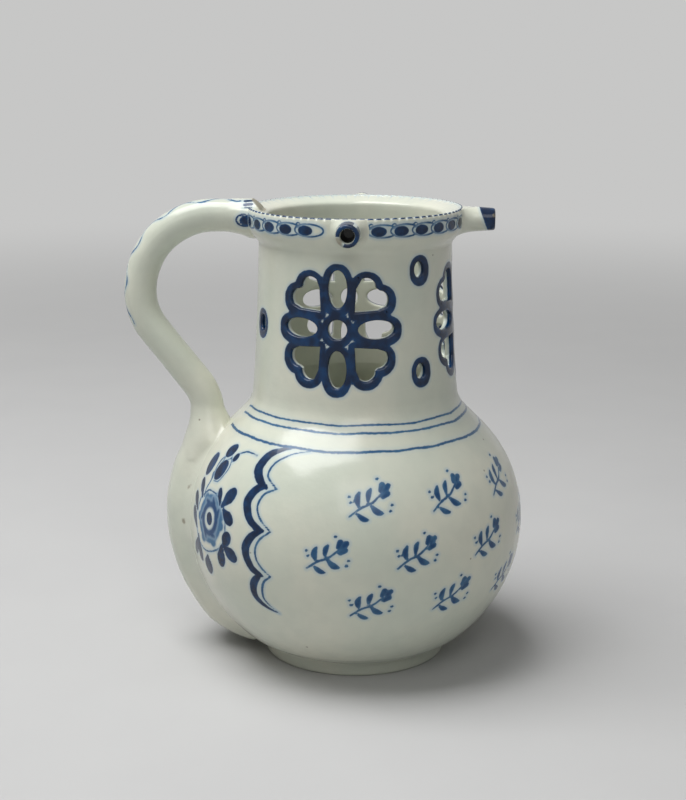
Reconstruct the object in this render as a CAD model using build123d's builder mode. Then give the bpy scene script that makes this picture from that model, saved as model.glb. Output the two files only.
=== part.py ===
"""Puzzle jug of tin-glazed earthenware: a thrown belly and pierced neck, a hollow
rim with three sucking spouts, and a hollow handle that runs down into a duct on
the belly's back, so that drink is sucked from the foot of the jug through the
duct, the handle and the rim to a spout. Sizes are in millimetres.

The jug's axis is Z and its foot stands on Z = 0. The handle is on the -X side,
and the spouts point to +X, -Y and +Y.
"""

from build123d import *
from math import acos, asin, atan2, cos, degrees, radians, sin, sqrt, tan
import os

# --------------------------------------------------------------------------
# Driving sizes
# --------------------------------------------------------------------------

# Thrown belly
foot_step = 2.4  # from the belly's curve in to the foot's side
foot_height = 5.6
foot_bevel = 0.8
belly_radius = 68.8
belly_height = 57.5  # height of the widest girth
foot_curve_angle = 58.0  # degrees below the girth at which the outside comes down to the foot
upper_curve = 53.3  # curve of the outside above the girth
shoulder_slope = 45.0  # degrees
neck_curve = 14.5  # hollow curve from shoulder to neck
belly_wall = 4.0
floor_thickness = 5.5
floor_curve = 6.0

# Neck
neck_base_radius = 41.4
neck_top_radius = 38.7
neck_wall = 3.5

# Piercings: a rosette over each spout, and round holes between them. Heights are from
# the neck's root, and all these sizes are for a neck of piercing_neck_height.
piercing_neck_height = 57.5
rosette_angles = (-97.0, 0.0, 97.0)
rosette_height = 29.0
rosette_eye = 3.8  # radius
oval_length = 14.6
oval_width = 7.4
oval_distance = 15.5
heart_tip = 9.7  # from the rosette's centre
heart_turn = 45.0  # degrees from an oval to the next heart
heart_length = 13.5
heart_width = 14.6
heart_overlap = 0.3  # from the heart's middle to where each lobe would end beyond it
hole_width = 4.6
hole_length = 6.2
hole_height = 31.2
hole_rise = 19.8  # from that height to each hole of a pair
paired_hole_angle = 47.5
single_hole_angle = 153.5
single_hole_drop = 3.4

# Hollow rim
rim_height = 185.0
rim_overhang = 4.4  # of the rim's outside beyond the neck's top
rim_depth = 14.5
ridge_inset = 0.8
ridge_round = 0.45
bead_height = 9.0  # height of the hollow sweep under the roll
channel_radius = 2.0
channel_wall = 2.0
channel_drop = 7.0  # from the ridge to the centre of the channel's round floor
cap_seat_drop = 2.4  # from the ridge to the cap's seat at the outside
cap_seat_fall = 2.3  # fall of the seat towards the mouth
cap_fall = 2.1  # fall of the cap's top towards the mouth
cap_mouth_round = 1.6

# Spouts
spout_angles = {"side": 0.0, "front": -90.0, "back": 90.0}
spout_length = 12.5  # from the rim's outside to the lip
spout_drop = 4.9  # from the ridge to the spout's axis
spout_root_radius = 4.9
spout_tip_radius = 4.3
spout_lip = 0.7
spout_mouth_radius = 2.65
spout_throat_radius = 1.7
spout_lute_reach = 5.0
spout_lute_swell = 1.8

# Hollow handle
handle_radius = 6.75
handle_bore = 3.2
handle_drop = 4.1  # from the ridge to the handle's axis at its head
handle_overhang = 18.6  # from the belly's girth out to the handle's axis
handle_bend_share = 0.546  # of the height from head to waist, down to the bend
handle_top_share = 0.78  # of the height from head to bend, taken by the top curve
handle_straight = 0.8
handle_waist_rise = 18.1  # from the heel's landing up to the waist
handle_heel_straight = 0.9  # from the top of the heel's lute up to the waist's curve
handle_heel_lean = 6.0  # degrees from upright
handle_heel_offset = 1.4  # from the belly's outside out to the tube's axis at the landing
handle_heel_depth = 4.0  # run of the tube's axis below that landing
handle_bore_start = 3.0  # from the rim's outside to the bore's blind end
rim_port_radius = 1.8
rim_port_drop = 5.9
port_run = 1.0  # of the port's far end into the handle's bore
suction_hole_radius = 1.7
suction_hole_run = 14.9  # from the rim's outside to the hole's middle
head_slope_width = 6.2  # from the ridge in to the foot of the head's slope
head_lute_reach = 8.5
head_lute_swell = 3.3

# Duct on the belly
duct_height = 10.0
duct_half_width = 15.0
duct_rise = 32.0  # from the girth up to where the handle's heel lands
duct_top_margin = 3.0  # degrees that the duct is bent beyond that height before it is trimmed
duct_bore_height = 5.6
duct_bore_half_width = 9.0
duct_bottom_angle = 59.0
duct_bore_bottom_angle = 42.0
duct_clearance = 1.8  # from the table to the duct's toe
inlet_radius = 3.5
inlet_height = 21.0
duct_lute_start = 11.5
duct_lute_half_width = 20.5
duct_lute_hollow = 1.0  # depth of the strips' hollow face
duct_lute_fade = 11.0  # shift of the upper curve's centre, so that the lute sinks away
duct_lute_bottom_angle = 55.0
heel_lute_height = 11.5

# Thickness at the thin edge of every lute
lute_edge = 0.3

# --------------------------------------------------------------------------
# Places that follow from the driving sizes
# --------------------------------------------------------------------------

# Curve of the belly's outside below the girth
lower_curve = (belly_height - foot_height) / sin(radians(foot_curve_angle))
lower_centre = belly_radius - lower_curve
foot_radius = lower_centre + lower_curve * cos(radians(foot_curve_angle)) - foot_step
upper_centre = belly_radius - upper_curve
slope_angle = radians(shoulder_slope)
slope_direction = (-sin(slope_angle), cos(slope_angle))


def on_curve(centre, curve, angle):
    """A point of the belly's section, as radius and height, at an angle above the girth."""
    return centre + curve * cos(radians(angle)), belly_height + curve * sin(radians(angle))


def on_shoulder(radius, curve):
    """The height at which the straight of the shoulder has a given radius."""
    start_radius, start_height = on_curve(upper_centre, curve, shoulder_slope)
    return start_height + (start_radius - radius) / tan(slope_angle)


def foot_angle(curve, height):
    """The angle at which the lower curve comes down to a given height."""
    return -degrees(asin((belly_height - height) / curve))


def on_girth(centre, curve, height):
    """The radius of a curve about one of the belly's centres at a given height."""
    return centre + sqrt(curve**2 - (height - belly_height) ** 2)


neck_corner = on_shoulder(neck_base_radius, upper_curve)
seam_height = neck_corner + neck_curve * tan(slope_angle / 2)
collar_radius = neck_base_radius - neck_wall
neck_top = rim_height - rim_depth
piercing_scale = (neck_top - seam_height) / piercing_neck_height
rosette_middle = seam_height + rosette_height * piercing_scale
mouth_radius = neck_top_radius - neck_wall
rim_radius = neck_top_radius + rim_overhang
root_radius = neck_top_radius - neck_wall / 2  # where spouts and lutes start, in the wall
ridge_radius = rim_radius - ridge_inset
cap_mouth = rim_height - cap_fall
seat_outside = rim_height - cap_seat_drop
seat_mouth = seat_outside - cap_seat_fall
channel_centre = mouth_radius + channel_wall + channel_radius
channel_height = rim_height - channel_drop
spout_height = rim_height - spout_drop
spout_reach = rim_radius + spout_length
handle_height = rim_height - handle_drop
port_height = rim_height - rim_port_drop
lute_top = rim_height - ridge_inset / 2
duct_top = belly_height + duct_rise
duct_top_angle = degrees(asin(duct_rise / upper_curve)) + duct_top_margin
landing_reach = on_girth(upper_centre, upper_curve, duct_top)
landing_depth = on_girth(upper_centre, upper_curve + duct_height, duct_top) - landing_reach
handle_reach = belly_radius + handle_overhang
handle_heel_reach = landing_reach + handle_heel_offset


def neck_radius(height):
    """The outside radius of the neck at a height."""
    share = (height - seam_height) / (neck_top - seam_height)
    return neck_base_radius + (neck_top_radius - neck_base_radius) * share


def upright_plane(angle, height):
    """The plane through the axis at an angle, with X outwards and Y upwards."""
    outward = (cos(radians(angle)), sin(radians(angle)), 0)
    sideways = (sin(radians(angle)), -cos(radians(angle)), 0)
    return Plane(origin=(0, 0, height), x_dir=outward, z_dir=sideways)


def facing_plane(angle, height, distance):
    """A plane that faces outwards at an angle, a height and a distance from the axis."""
    outward = Vector(cos(radians(angle)), sin(radians(angle)), 0)
    return Plane(origin=outward * distance + Vector(0, 0, height), x_dir=(0, 0, 1), z_dir=outward)


def wall_plane(angle, height, distance=0.0, turn=0.0):
    """A plane that touches the neck, with X along a turn from the upright's right.

    Its origin lies a distance along the wall from the middle at the angle and height.
    The distance is scaled as the piercings are.
    """
    across = distance * piercing_scale * cos(radians(turn))
    up = distance * piercing_scale * sin(radians(turn))
    place = radians(angle) + across / neck_radius(height)
    outward = Vector(cos(place), sin(place), 0)
    side = Vector(-sin(place), cos(place), 0)
    return Plane(
        origin=outward * neck_radius(height + up) + Vector(0, 0, height + up),
        x_dir=side * cos(radians(turn)) + Vector(0, 0, sin(radians(turn))),
        z_dir=outward,
    )


def round_corner(sketch, radius, height, curve):
    """Round the corner of a sketch that lies nearest to a place in its own plane."""
    corner = sketch.vertices().sort_by_distance(Vector(radius, height))[0]
    fillet(corner, radius=curve)


# --------------------------------------------------------------------------
# Forms that the pieces are cut from and cut by
# --------------------------------------------------------------------------


def belly_section(wall, bottom, bottom_radius, collar):
    """Draw the belly's section up to the seam: of the outside, or of the hollow."""
    low_curve = lower_curve - wall
    high_curve = upper_curve - wall
    start_angle = foot_angle(low_curve, bottom)
    start = on_curve(lower_centre, low_curve, start_angle)
    girth = (belly_radius - wall, belly_height)
    slope = on_curve(upper_centre, high_curve, shoulder_slope)
    corner_height = on_shoulder(collar, high_curve)
    run = seam_height - corner_height  # from the corner to each end of the root's curve
    root = (collar - run * slope_direction[0], corner_height - run * slope_direction[1])
    Line((bottom_radius, bottom), start)
    ThreePointArc(start, on_curve(lower_centre, low_curve, start_angle / 2), girth)
    ThreePointArc(girth, on_curve(upper_centre, high_curve, shoulder_slope / 2), slope)
    Line(slope, root)
    TangentArc(root, (collar, seam_height), tangent=slope_direction)
    Line((collar, seam_height), (0, seam_height))


# The belly without its hollow
with BuildPart() as belly_form:
    with BuildSketch(Plane.XZ) as belly_outline:
        with BuildLine():
            Polyline((0, seam_height), (0, 0), (foot_radius, 0), (foot_radius, foot_height))
            belly_section(0, foot_height, foot_radius, neck_base_radius)
        make_face()
        chamfer(belly_outline.vertices().sort_by_distance(Vector(foot_radius, 0))[0], foot_bevel)
    revolve(axis=Axis.Z)

# The hollow of the belly
with BuildPart() as belly_hollow:
    with BuildSketch(Plane.XZ) as hollow_outline:
        with BuildLine():
            Line((0, seam_height), (0, floor_thickness))
            belly_section(belly_wall, floor_thickness, 0, collar_radius)
        make_face()
        floor_edge = on_girth(lower_centre, lower_curve - belly_wall, floor_thickness)
        round_corner(hollow_outline, floor_edge, floor_thickness, floor_curve)
    revolve(axis=Axis.Z)

# The rim without its hollow and its mouth
bead_middle = ((neck_top_radius + rim_radius) / 2, neck_top + bead_height / 2)
with BuildPart() as rim_form:
    with BuildSketch(Plane.XZ) as rim_outline:
        with BuildLine():
            Line((0, neck_top), (neck_top_radius, neck_top))
            TangentArc((neck_top_radius, neck_top), bead_middle, tangent=(0, 1))
            TangentArc((rim_radius, neck_top + bead_height), bead_middle, tangent=(0, -1))
            Line((rim_radius, neck_top + bead_height), (rim_radius, rim_height - ridge_inset))
            Line((rim_radius, rim_height - ridge_inset), (ridge_radius, rim_height))
            Polyline((ridge_radius, rim_height), (mouth_radius, cap_mouth), (0, cap_mouth))
            Line((0, cap_mouth), (0, neck_top))
        make_face()
        round_corner(rim_outline, ridge_radius, rim_height, ridge_round)
    revolve(axis=Axis.Z)

# The space over the rim, inside the ridge
with BuildPart() as mouth_space:
    with BuildSketch(Plane.XY.offset(seat_mouth)):
        Circle(ridge_radius - ridge_round)
    extrude(amount=rim_height)

# The slope that the handle's head is trimmed to, from the cap up to its top
slope_foot = ridge_radius - head_slope_width
head_top = handle_height + handle_radius
with BuildPart() as head_slope:
    with BuildSketch(Plane.XZ):
        with BuildLine():
            Polyline((0, neck_top), (slope_foot, neck_top), (slope_foot, cap_mouth))
            Line((slope_foot, cap_mouth), (rim_radius, head_top))
            Polyline((rim_radius, head_top), (0, head_top), (0, neck_top))
        make_face()
    revolve(axis=Axis.Z)

# The duct without its hollow, half an ellipse in section, bent along the belly
high_axis = Axis((-upper_centre, 0, belly_height), (0, 1, 0))
low_axis = Axis((-lower_centre, 0, belly_height), (0, 1, 0))
with BuildPart() as duct_form:
    with BuildSketch(Plane.XY.offset(belly_height)) as duct_section:
        with Locations((-belly_radius, 0)):
            Ellipse(duct_height, duct_half_width)
    revolve(duct_section.sketch, axis=high_axis, revolution_arc=duct_top_angle)
    revolve(duct_section.sketch, axis=low_axis, revolution_arc=-duct_bottom_angle)
    split(bisect_by=Plane.XY.offset(duct_top), keep=Keep.BOTTOM)
    split(bisect_by=Plane.XY.offset(duct_clearance), keep=Keep.TOP)

# The handle's centre line: level out of the rim, down, in again, and steep at the heel
heel_tan = tan(radians(handle_heel_lean))
waist_height = duct_top + handle_waist_rise
waist_reach = handle_heel_reach + handle_waist_rise * heel_tan
bend_run = handle_bend_share * (handle_height - waist_height)
bend_height = handle_height - bend_run
handle_top_curve = handle_top_share * bend_run
handle_lean = atan2(handle_reach - waist_reach, bend_height - waist_height)
handle_bend_curve = (bend_run - handle_top_curve - handle_straight) / tan(handle_lean / 2)
waist_turn = handle_lean - radians(handle_heel_lean)
waist_room = handle_waist_rise - heel_lute_height - handle_heel_straight
handle_waist_curve = waist_room / cos(radians(handle_heel_lean)) / tan(waist_turn / 2)
heel_end = (-(handle_heel_reach - handle_heel_depth * heel_tan), duct_top - handle_heel_depth)


def handle_line(start):
    """Draw the handle's centre line from a distance out of the axis to its heel."""
    return FilletPolyline(
        (-start, handle_height),
        (-handle_reach, handle_height),
        (-handle_reach, bend_height),
        (-waist_reach, waist_height),
        heel_end,
        radius=[handle_top_curve, handle_bend_curve, handle_waist_curve],
    )


# The handle without its bore
with BuildPart() as handle_form:
    with BuildLine(Plane.XZ) as handle_centre:
        handle_line(mouth_radius)
    with BuildSketch(Plane(origin=handle_centre.line @ 0, z_dir=handle_centre.line % 0)):
        Circle(handle_radius)
    sweep(path=handle_centre.wire())

# --------------------------------------------------------------------------
# Thrown pieces: belly, neck and hollow rim
# --------------------------------------------------------------------------

with BuildPart() as belly:
    add(belly_form.part)
    add(belly_hollow.part, mode=Mode.SUBTRACT)
    # Hole at the foot of the duct, through which the drink is sucked
    with BuildSketch(facing_plane(180, inlet_height, foot_radius)):
        Circle(inlet_radius)
    extrude(amount=belly_radius - foot_radius, mode=Mode.SUBTRACT)


def half_heart():
    """Draw one half of a heart along X, from its tip at the origin round a lobe to the notch."""
    half_width = heart_width / 2 * piercing_scale
    lobe = half_width / 2 + heart_overlap / 2 * piercing_scale
    spread = half_width - lobe
    middle = heart_length * piercing_scale - lobe
    distance = sqrt(middle**2 + spread**2)
    touch = atan2(spread, middle) + asin(lobe / distance) + radians(90)
    notch = -acos(sqrt(lobe**2 - spread**2) / lobe)

    def on_lobe(angle):
        return middle + lobe * cos(angle), spread + lobe * sin(angle)

    Line((0, 0), on_lobe(touch))
    ThreePointArc(on_lobe(touch), on_lobe((touch + notch) / 2), on_lobe(notch))


with BuildPart() as neck:
    with BuildSketch(Plane.XZ):
        with BuildLine():
            Polyline(
                (collar_radius, seam_height),
                (neck_base_radius, seam_height),
                (neck_top_radius, neck_top),
                (mouth_radius, neck_top),
                close=True,
            )
        make_face()
    revolve(axis=Axis.Z)
    # Rosettes: a round eye, four ovals upright and level, and four hearts between them
    for angle in rosette_angles:
        with BuildSketch(wall_plane(angle, rosette_middle)):
            Circle(rosette_eye * piercing_scale)
        for turn in range(0, 360, 90):
            with BuildSketch(wall_plane(angle, rosette_middle, oval_distance, turn)):
                Ellipse(oval_length / 2 * piercing_scale, oval_width / 2 * piercing_scale)
            with BuildSketch(wall_plane(angle, rosette_middle, heart_tip, turn + heart_turn)):
                with BuildLine():
                    half_heart()
                    mirror(about=Plane.XZ)
                make_face()
    # Small upright holes between the rosettes
    hole_middle = seam_height + hole_height * piercing_scale
    for side in (-1, 1):
        pair = side * paired_hole_angle
        with BuildSketch(
            wall_plane(pair, hole_middle, hole_rise, 90),
            wall_plane(pair, hole_middle, hole_rise, -90),
            wall_plane(side * single_hole_angle, hole_middle, single_hole_drop, -90),
        ):
            Ellipse(hole_length / 2 * piercing_scale, hole_width / 2 * piercing_scale)
    extrude(amount=2 * neck_wall, both=True, mode=Mode.SUBTRACT)


# Holes from the rim's channel to the spouts and into the handle's bore
with BuildPart() as ports:
    for angle in spout_angles.values():
        with BuildSketch(facing_plane(angle, spout_height, channel_centre)):
            Circle(spout_throat_radius)
    with BuildSketch(facing_plane(180, port_height, channel_centre)):
        Circle(rim_port_radius)
    extrude(amount=rim_radius - channel_centre + handle_bore_start + port_run)

seat_outer = rim_radius + ridge_inset
seat_outer_height = seat_mouth + cap_seat_fall * (seat_outer - mouth_radius) / (
    rim_radius - mouth_radius
)

with BuildPart() as rim_trough:
    add(rim_form.part)
    # The mouth, and all that lies over the cap's seat
    with BuildSketch(Plane.XZ):
        Polygon(
            (0, 0),
            (mouth_radius, 0),
            (mouth_radius, seat_mouth),
            (seat_outer, seat_outer_height),
            (seat_outer, 2 * rim_height),
            (0, 2 * rim_height),
            align=None,
        )
    revolve(axis=Axis.Z, mode=Mode.SUBTRACT)
    # The channel, open to the seat
    with BuildSketch(Plane.XZ):
        with Locations((channel_centre, channel_height)):
            Circle(channel_radius)
            Rectangle(2 * channel_radius, channel_drop, align=(Align.CENTER, Align.MIN))
    revolve(axis=Axis.Z, mode=Mode.SUBTRACT)
    add(ports.part, mode=Mode.SUBTRACT)

with BuildPart() as rim_cap:
    with BuildSketch(Plane.XZ) as cap_outline:
        Polygon(
            (mouth_radius, seat_mouth),
            (rim_radius, seat_outside),
            (rim_radius, rim_height - ridge_inset),
            (ridge_radius, rim_height),
            (mouth_radius, cap_mouth),
            align=None,
        )
        round_corner(cap_outline, ridge_radius, rim_height, ridge_round)
        round_corner(cap_outline, mouth_radius, cap_mouth, cap_mouth_round)
    revolve(axis=Axis.Z)
    add(ports.part, mode=Mode.SUBTRACT)

# --------------------------------------------------------------------------
# Spouts, each with the ring of clay that lutes it to the rim
# --------------------------------------------------------------------------


def make_spout(angle):
    """A short tapered tube with a rounded lip and a bore that opens towards it."""
    plane = upright_plane(angle, spout_height)
    lip = min(spout_lip, 0.45 * (spout_tip_radius - spout_mouth_radius))
    with BuildPart() as spout:
        with BuildSketch(plane) as outline:
            Polygon(
                (root_radius, spout_throat_radius),
                (root_radius, spout_root_radius),
                (spout_reach, spout_tip_radius),
                (spout_reach, spout_mouth_radius),
                align=None,
            )
            round_corner(outline, spout_reach, spout_tip_radius, lip)
            round_corner(outline, spout_reach, spout_mouth_radius, lip)
        revolve(axis=Axis(plane.origin, plane.x_dir))
        add(rim_form.part, mode=Mode.SUBTRACT)
        add(mouth_space.part, mode=Mode.SUBTRACT)
    return spout.part


def make_spout_lute(angle):
    """The swelling of clay round a spout's root, hollow in section."""
    plane = upright_plane(angle, spout_height)
    end = rim_radius + spout_lute_reach
    swell = spout_root_radius + spout_lute_swell
    with BuildPart() as lute:
        with BuildSketch(plane):
            with BuildLine():
                Line((end, 0), (end, spout_root_radius + lute_edge))
                TangentArc((end, spout_root_radius + lute_edge), (rim_radius, swell), tangent=(-1, 0))
                Polyline((rim_radius, swell), (root_radius, swell), (root_radius, 0), (end, 0))
            make_face()
        revolve(axis=Axis(plane.origin, plane.x_dir))
        split(bisect_by=Plane.XY.offset(lute_top), keep=Keep.BOTTOM)
        with BuildSketch(plane):
            Polygon(
                (root_radius, 0),
                (root_radius, spout_root_radius),
                (spout_reach, spout_tip_radius),
                (spout_reach, 0),
                align=None,
            )
        revolve(axis=Axis(plane.origin, plane.x_dir), mode=Mode.SUBTRACT)
        add(rim_form.part, mode=Mode.SUBTRACT)
        add(neck.part, mode=Mode.SUBTRACT)
        add(mouth_space.part, mode=Mode.SUBTRACT)
    return lute.part


# --------------------------------------------------------------------------
# Hollow handle and the duct that it runs into
# --------------------------------------------------------------------------

with BuildPart() as handle_tube:
    add(handle_form.part)
    # Bore, with a blind end at the head and an open one at the heel
    with BuildLine(Plane.XZ) as bore_centre:
        handle_line(rim_radius + handle_bore_start)
    with BuildSketch(Plane(origin=bore_centre.line @ 0, z_dir=bore_centre.line % 0)):
        Circle(handle_bore)
    sweep(path=bore_centre.wire(), mode=Mode.SUBTRACT)
    # Port to the rim's channel, and the small hole under the handle that a finger shuts
    add(ports.part, mode=Mode.SUBTRACT)
    with BuildSketch(Plane.XY.offset(handle_height - 2 * handle_radius)):
        with Locations((-rim_radius - suction_hole_run, 0)):
            Circle(suction_hole_radius)
    extrude(amount=2 * handle_radius, mode=Mode.SUBTRACT)
    # Trims at the rim, where the head slopes down on to the cap, and at the landing
    add(rim_form.part, mode=Mode.SUBTRACT)
    add(head_slope.part, mode=Mode.SUBTRACT)
    add(duct_form.part, mode=Mode.SUBTRACT)
    add(belly_form.part, mode=Mode.SUBTRACT)

with BuildPart() as belly_duct:
    add(duct_form.part)
    with BuildSketch(Plane.XY.offset(belly_height)) as passage_section:
        with Locations((-belly_radius, 0)):
            Ellipse(duct_bore_height, duct_bore_half_width)
    revolve(
        passage_section.sketch, axis=high_axis, revolution_arc=duct_top_angle, mode=Mode.SUBTRACT
    )
    revolve(
        passage_section.sketch,
        axis=low_axis,
        revolution_arc=-duct_bore_bottom_angle,
        mode=Mode.SUBTRACT,
    )
    add(belly_form.part, mode=Mode.SUBTRACT)

# --------------------------------------------------------------------------
# Lutes of the handle and the duct
# --------------------------------------------------------------------------

with BuildPart() as handle_head_lute:
    head_plane = upright_plane(180, handle_height)
    lute_end = rim_radius + head_lute_reach
    lute_swell = handle_radius + head_lute_swell
    with BuildSketch(head_plane):
        with BuildLine():
            Line((lute_end, 0), (lute_end, handle_radius + lute_edge))
            TangentArc(
                (lute_end, handle_radius + lute_edge),
                (root_radius, lute_swell),
                tangent=(-1, 0),
            )
            Polyline((root_radius, lute_swell), (root_radius, 0), (lute_end, 0))
        make_face()
    revolve(axis=Axis(head_plane.origin, head_plane.x_dir))
    split(bisect_by=Plane.XY.offset(lute_top), keep=Keep.BOTTOM)
    add(handle_form.part, mode=Mode.SUBTRACT)
    add(rim_form.part, mode=Mode.SUBTRACT)
    add(neck.part, mode=Mode.SUBTRACT)
    add(mouth_space.part, mode=Mode.SUBTRACT)

# From the duct's outline at the landing up to a ring round the tube
with BuildPart() as handle_heel_lute:
    with BuildSketch(Plane.XY.offset(duct_top)):
        with Locations((-landing_reach, 0)):
            Ellipse(landing_depth, duct_half_width)
    with BuildSketch(Plane.XY.offset(duct_top + heel_lute_height)):
        with Locations((-handle_heel_reach - heel_lute_height * heel_tan, 0)):
            Circle(handle_radius + lute_edge)
    loft(ruled=True)
    add(handle_form.part, mode=Mode.SUBTRACT)
    add(belly_form.part, mode=Mode.SUBTRACT)

# Hollow-faced strips of clay along both edges of the duct, which sink away towards the heel
lute_depth = duct_height * sqrt(1 - (duct_lute_start / duct_half_width) ** 2)
lute_sink = belly_radius - sqrt(belly_radius**2 - duct_lute_half_width**2) + lute_edge
fade_axis = Axis((-upper_centre - duct_lute_fade, 0, belly_height), (0, 1, 0))
lute_crest = (-belly_radius - lute_depth, -duct_lute_start)
lute_foot = (-belly_radius + lute_sink, -duct_lute_half_width)
lute_root = -belly_radius + 2 * lute_sink  # inside the belly's wall

with BuildPart() as duct_lute_front:
    with BuildSketch(Plane.XY.offset(belly_height)) as strip_section:
        with BuildLine():
            SagittaArc(lute_crest, lute_foot, duct_lute_hollow)
            Polyline(lute_foot, (lute_root, lute_foot[1]), (lute_root, lute_crest[1]), lute_crest)
        make_face()
    revolve(strip_section.sketch, axis=fade_axis, revolution_arc=duct_top_angle)
    revolve(strip_section.sketch, axis=low_axis, revolution_arc=-duct_lute_bottom_angle)
    split(bisect_by=Plane.XY.offset(duct_top), keep=Keep.BOTTOM)
    split(bisect_by=Plane.XY.offset(duct_clearance), keep=Keep.TOP)
    add(duct_form.part, mode=Mode.SUBTRACT)
    add(belly_form.part, mode=Mode.SUBTRACT)

with BuildPart() as duct_lute_back:
    mirror(duct_lute_front.part, about=Plane.XZ)


# --------------------------------------------------------------------------
# Output
# --------------------------------------------------------------------------

pieces = {
    "belly": belly.part,
    "neck": neck.part,
    "rim_trough": rim_trough.part,
    "rim_cap": rim_cap.part,
    "handle_tube": handle_tube.part,
    "belly_duct": belly_duct.part,
    "handle_head_lute": handle_head_lute.part,
    "handle_heel_lute": handle_heel_lute.part,
    "duct_lute_front": duct_lute_front.part,
    "duct_lute_back": duct_lute_back.part,
}
for place, angle in spout_angles.items():
    pieces[f"spout_{place}"] = make_spout(angle)
    pieces[f"spout_{place}_lute"] = make_spout_lute(angle)

os.makedirs("parts", exist_ok=True)
for name, piece in pieces.items():
    piece.label = name
    export_step(piece, f"parts/{name}.step")
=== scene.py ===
# %% [markdown]
# # A tin-glazed puzzle jug
# The jug is earthenware: clay thrown and rolled in several pieces, stuck together with
# slip, fired, dipped in white tin glaze, painted in cobalt blue on the raw glaze and
# fired again. The neck is pierced, so it pours all over whoever tips it. The drink is
# sucked up through a duct on the belly's back, the hollow handle and the hollow rim.
#
# Each piece below is built from its section or its path, in millimetres, and put on the
# frame that the CAD model gives. The painting is not an image: each brush stroke is a
# line on the surface, every point of the mesh stores how far it lies from the paint,
# and the material turns that distance into colour with a soft, wavering edge.

# %% The frame and the modules
from math import cos, pi, radians, sin, sqrt, tan

import bmesh
import bpy
import numpy as np
from mathutils import Matrix, Vector


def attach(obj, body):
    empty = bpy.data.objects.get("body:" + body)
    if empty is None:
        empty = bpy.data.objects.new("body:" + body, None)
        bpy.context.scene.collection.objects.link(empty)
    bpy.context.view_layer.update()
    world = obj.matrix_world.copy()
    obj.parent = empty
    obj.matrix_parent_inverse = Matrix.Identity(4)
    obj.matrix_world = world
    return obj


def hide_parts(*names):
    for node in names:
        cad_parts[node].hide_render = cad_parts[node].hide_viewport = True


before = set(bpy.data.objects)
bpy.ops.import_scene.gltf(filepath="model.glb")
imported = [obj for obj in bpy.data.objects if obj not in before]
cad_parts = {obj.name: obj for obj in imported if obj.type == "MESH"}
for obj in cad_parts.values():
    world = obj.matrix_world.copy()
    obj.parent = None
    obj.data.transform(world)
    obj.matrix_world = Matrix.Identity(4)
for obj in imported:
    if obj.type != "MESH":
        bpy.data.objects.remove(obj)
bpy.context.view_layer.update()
MM = 0.001

# %% [markdown]
# ## Helpers for node trees
# Materials and Geometry Nodes trees are both built from small nodes. One helper adds a
# node, sets its properties and fills or links its inputs, so that each tree reads like a
# recipe.

# %% Helpers for node trees
def add_node(tree, kind, inputs=None, **settings):
    """Add a node; an input that is a socket is linked, and any other value is set."""
    node = tree.nodes.new(kind)
    for name, value in settings.items():
        setattr(node, name, value)
    for key, value in (inputs or {}).items():
        if isinstance(value, bpy.types.NodeSocket):
            tree.links.new(value, node.inputs[key])
        else:
            node.inputs[key].default_value = value
    return node


def maths(tree, operation, *values):
    """The result of a Math node."""
    node = add_node(tree, "ShaderNodeMath", dict(enumerate(values)), operation=operation)
    return node.outputs[0]


def ease(tree, value, start, end, low=0.0, high=1.0):
    """A smooth step of a value from low at start to high at end."""
    inputs = {"Value": value, "From Min": start, "From Max": end, "To Min": low, "To Max": high}
    node = add_node(tree, "ShaderNodeMapRange", inputs, interpolation_type="SMOOTHSTEP")
    return node.outputs[0]


def mix_colour(tree, share, below, above):
    """A mix of two colours."""
    inputs = {0: share, 6: below, 7: above}
    return add_node(tree, "ShaderNodeMix", inputs, data_type="RGBA").outputs[2]


def noise(tree, place, scale, detail=2.0):
    """Noise between 0 and 1, with a scale in lumps per metre."""
    inputs = {"Vector": place, "Scale": scale, "Detail": detail}
    return add_node(tree, "ShaderNodeTexNoise", inputs).outputs[0]


def waver(tree, place, scale, size, detail=2.0):
    """Noise about zero, with a scale in lumps per metre and its whole size."""
    centred = maths(tree, "SUBTRACT", noise(tree, place, scale, detail), 0.5)
    return maths(tree, "MULTIPLY", centred, size)


def object_place(tree):
    """The place in the piece's own coordinates."""
    return add_node(tree, "ShaderNodeTexCoord").outputs["Object"]


def new_group(name, kind, inputs, outputs):
    """A node group with named sockets, given as (name, socket type, default value)."""
    tree = bpy.data.node_groups.new(name, kind)
    for direction, sockets in (("INPUT", inputs), ("OUTPUT", outputs)):
        for label, socket_type, *default in sockets:
            socket = tree.interface.new_socket(label, in_out=direction, socket_type=socket_type)
            if default:
                socket.default_value = default[0]
    return tree, tree.nodes.new("NodeGroupInput").outputs, tree.nodes.new("NodeGroupOutput").inputs


COLOUR, NUMBER = "NodeSocketColor", "NodeSocketFloat"

# %% [markdown]
# ## Tin glaze
# The glaze is white from tin ash, but never paper white: it runs a little thin and warm
# on edges, and pools cool and greenish in hollows. It has fine specks of iron and
# pinholes where gas broke through. One group gives that ground to every piece: a colour,
# a roughness and a height, all in object coordinates so that nothing stretches.

# %% The tin glaze group
WARM_WHITE, COOL_WHITE = (0.70, 0.70, 0.59, 1), (0.60, 0.64, 0.545, 1)
MOTTLE_GREEN, IRON_BROWN = (0.42, 0.45, 0.40, 1), (0.16, 0.12, 0.08, 1)
cloud_lumps, wave_lumps, mottle_lumps, peel_lumps = 22, 60, 170, 420  # per metre
speck_cells, speck_rarity = 190.0, 0.955  # cells per metre, and the share with no speck
mottle_strength, speck_strength, peel_share = 0.10, 0.6, 0.35
glossy, dull = 0.13, 0.22  # roughness


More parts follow.
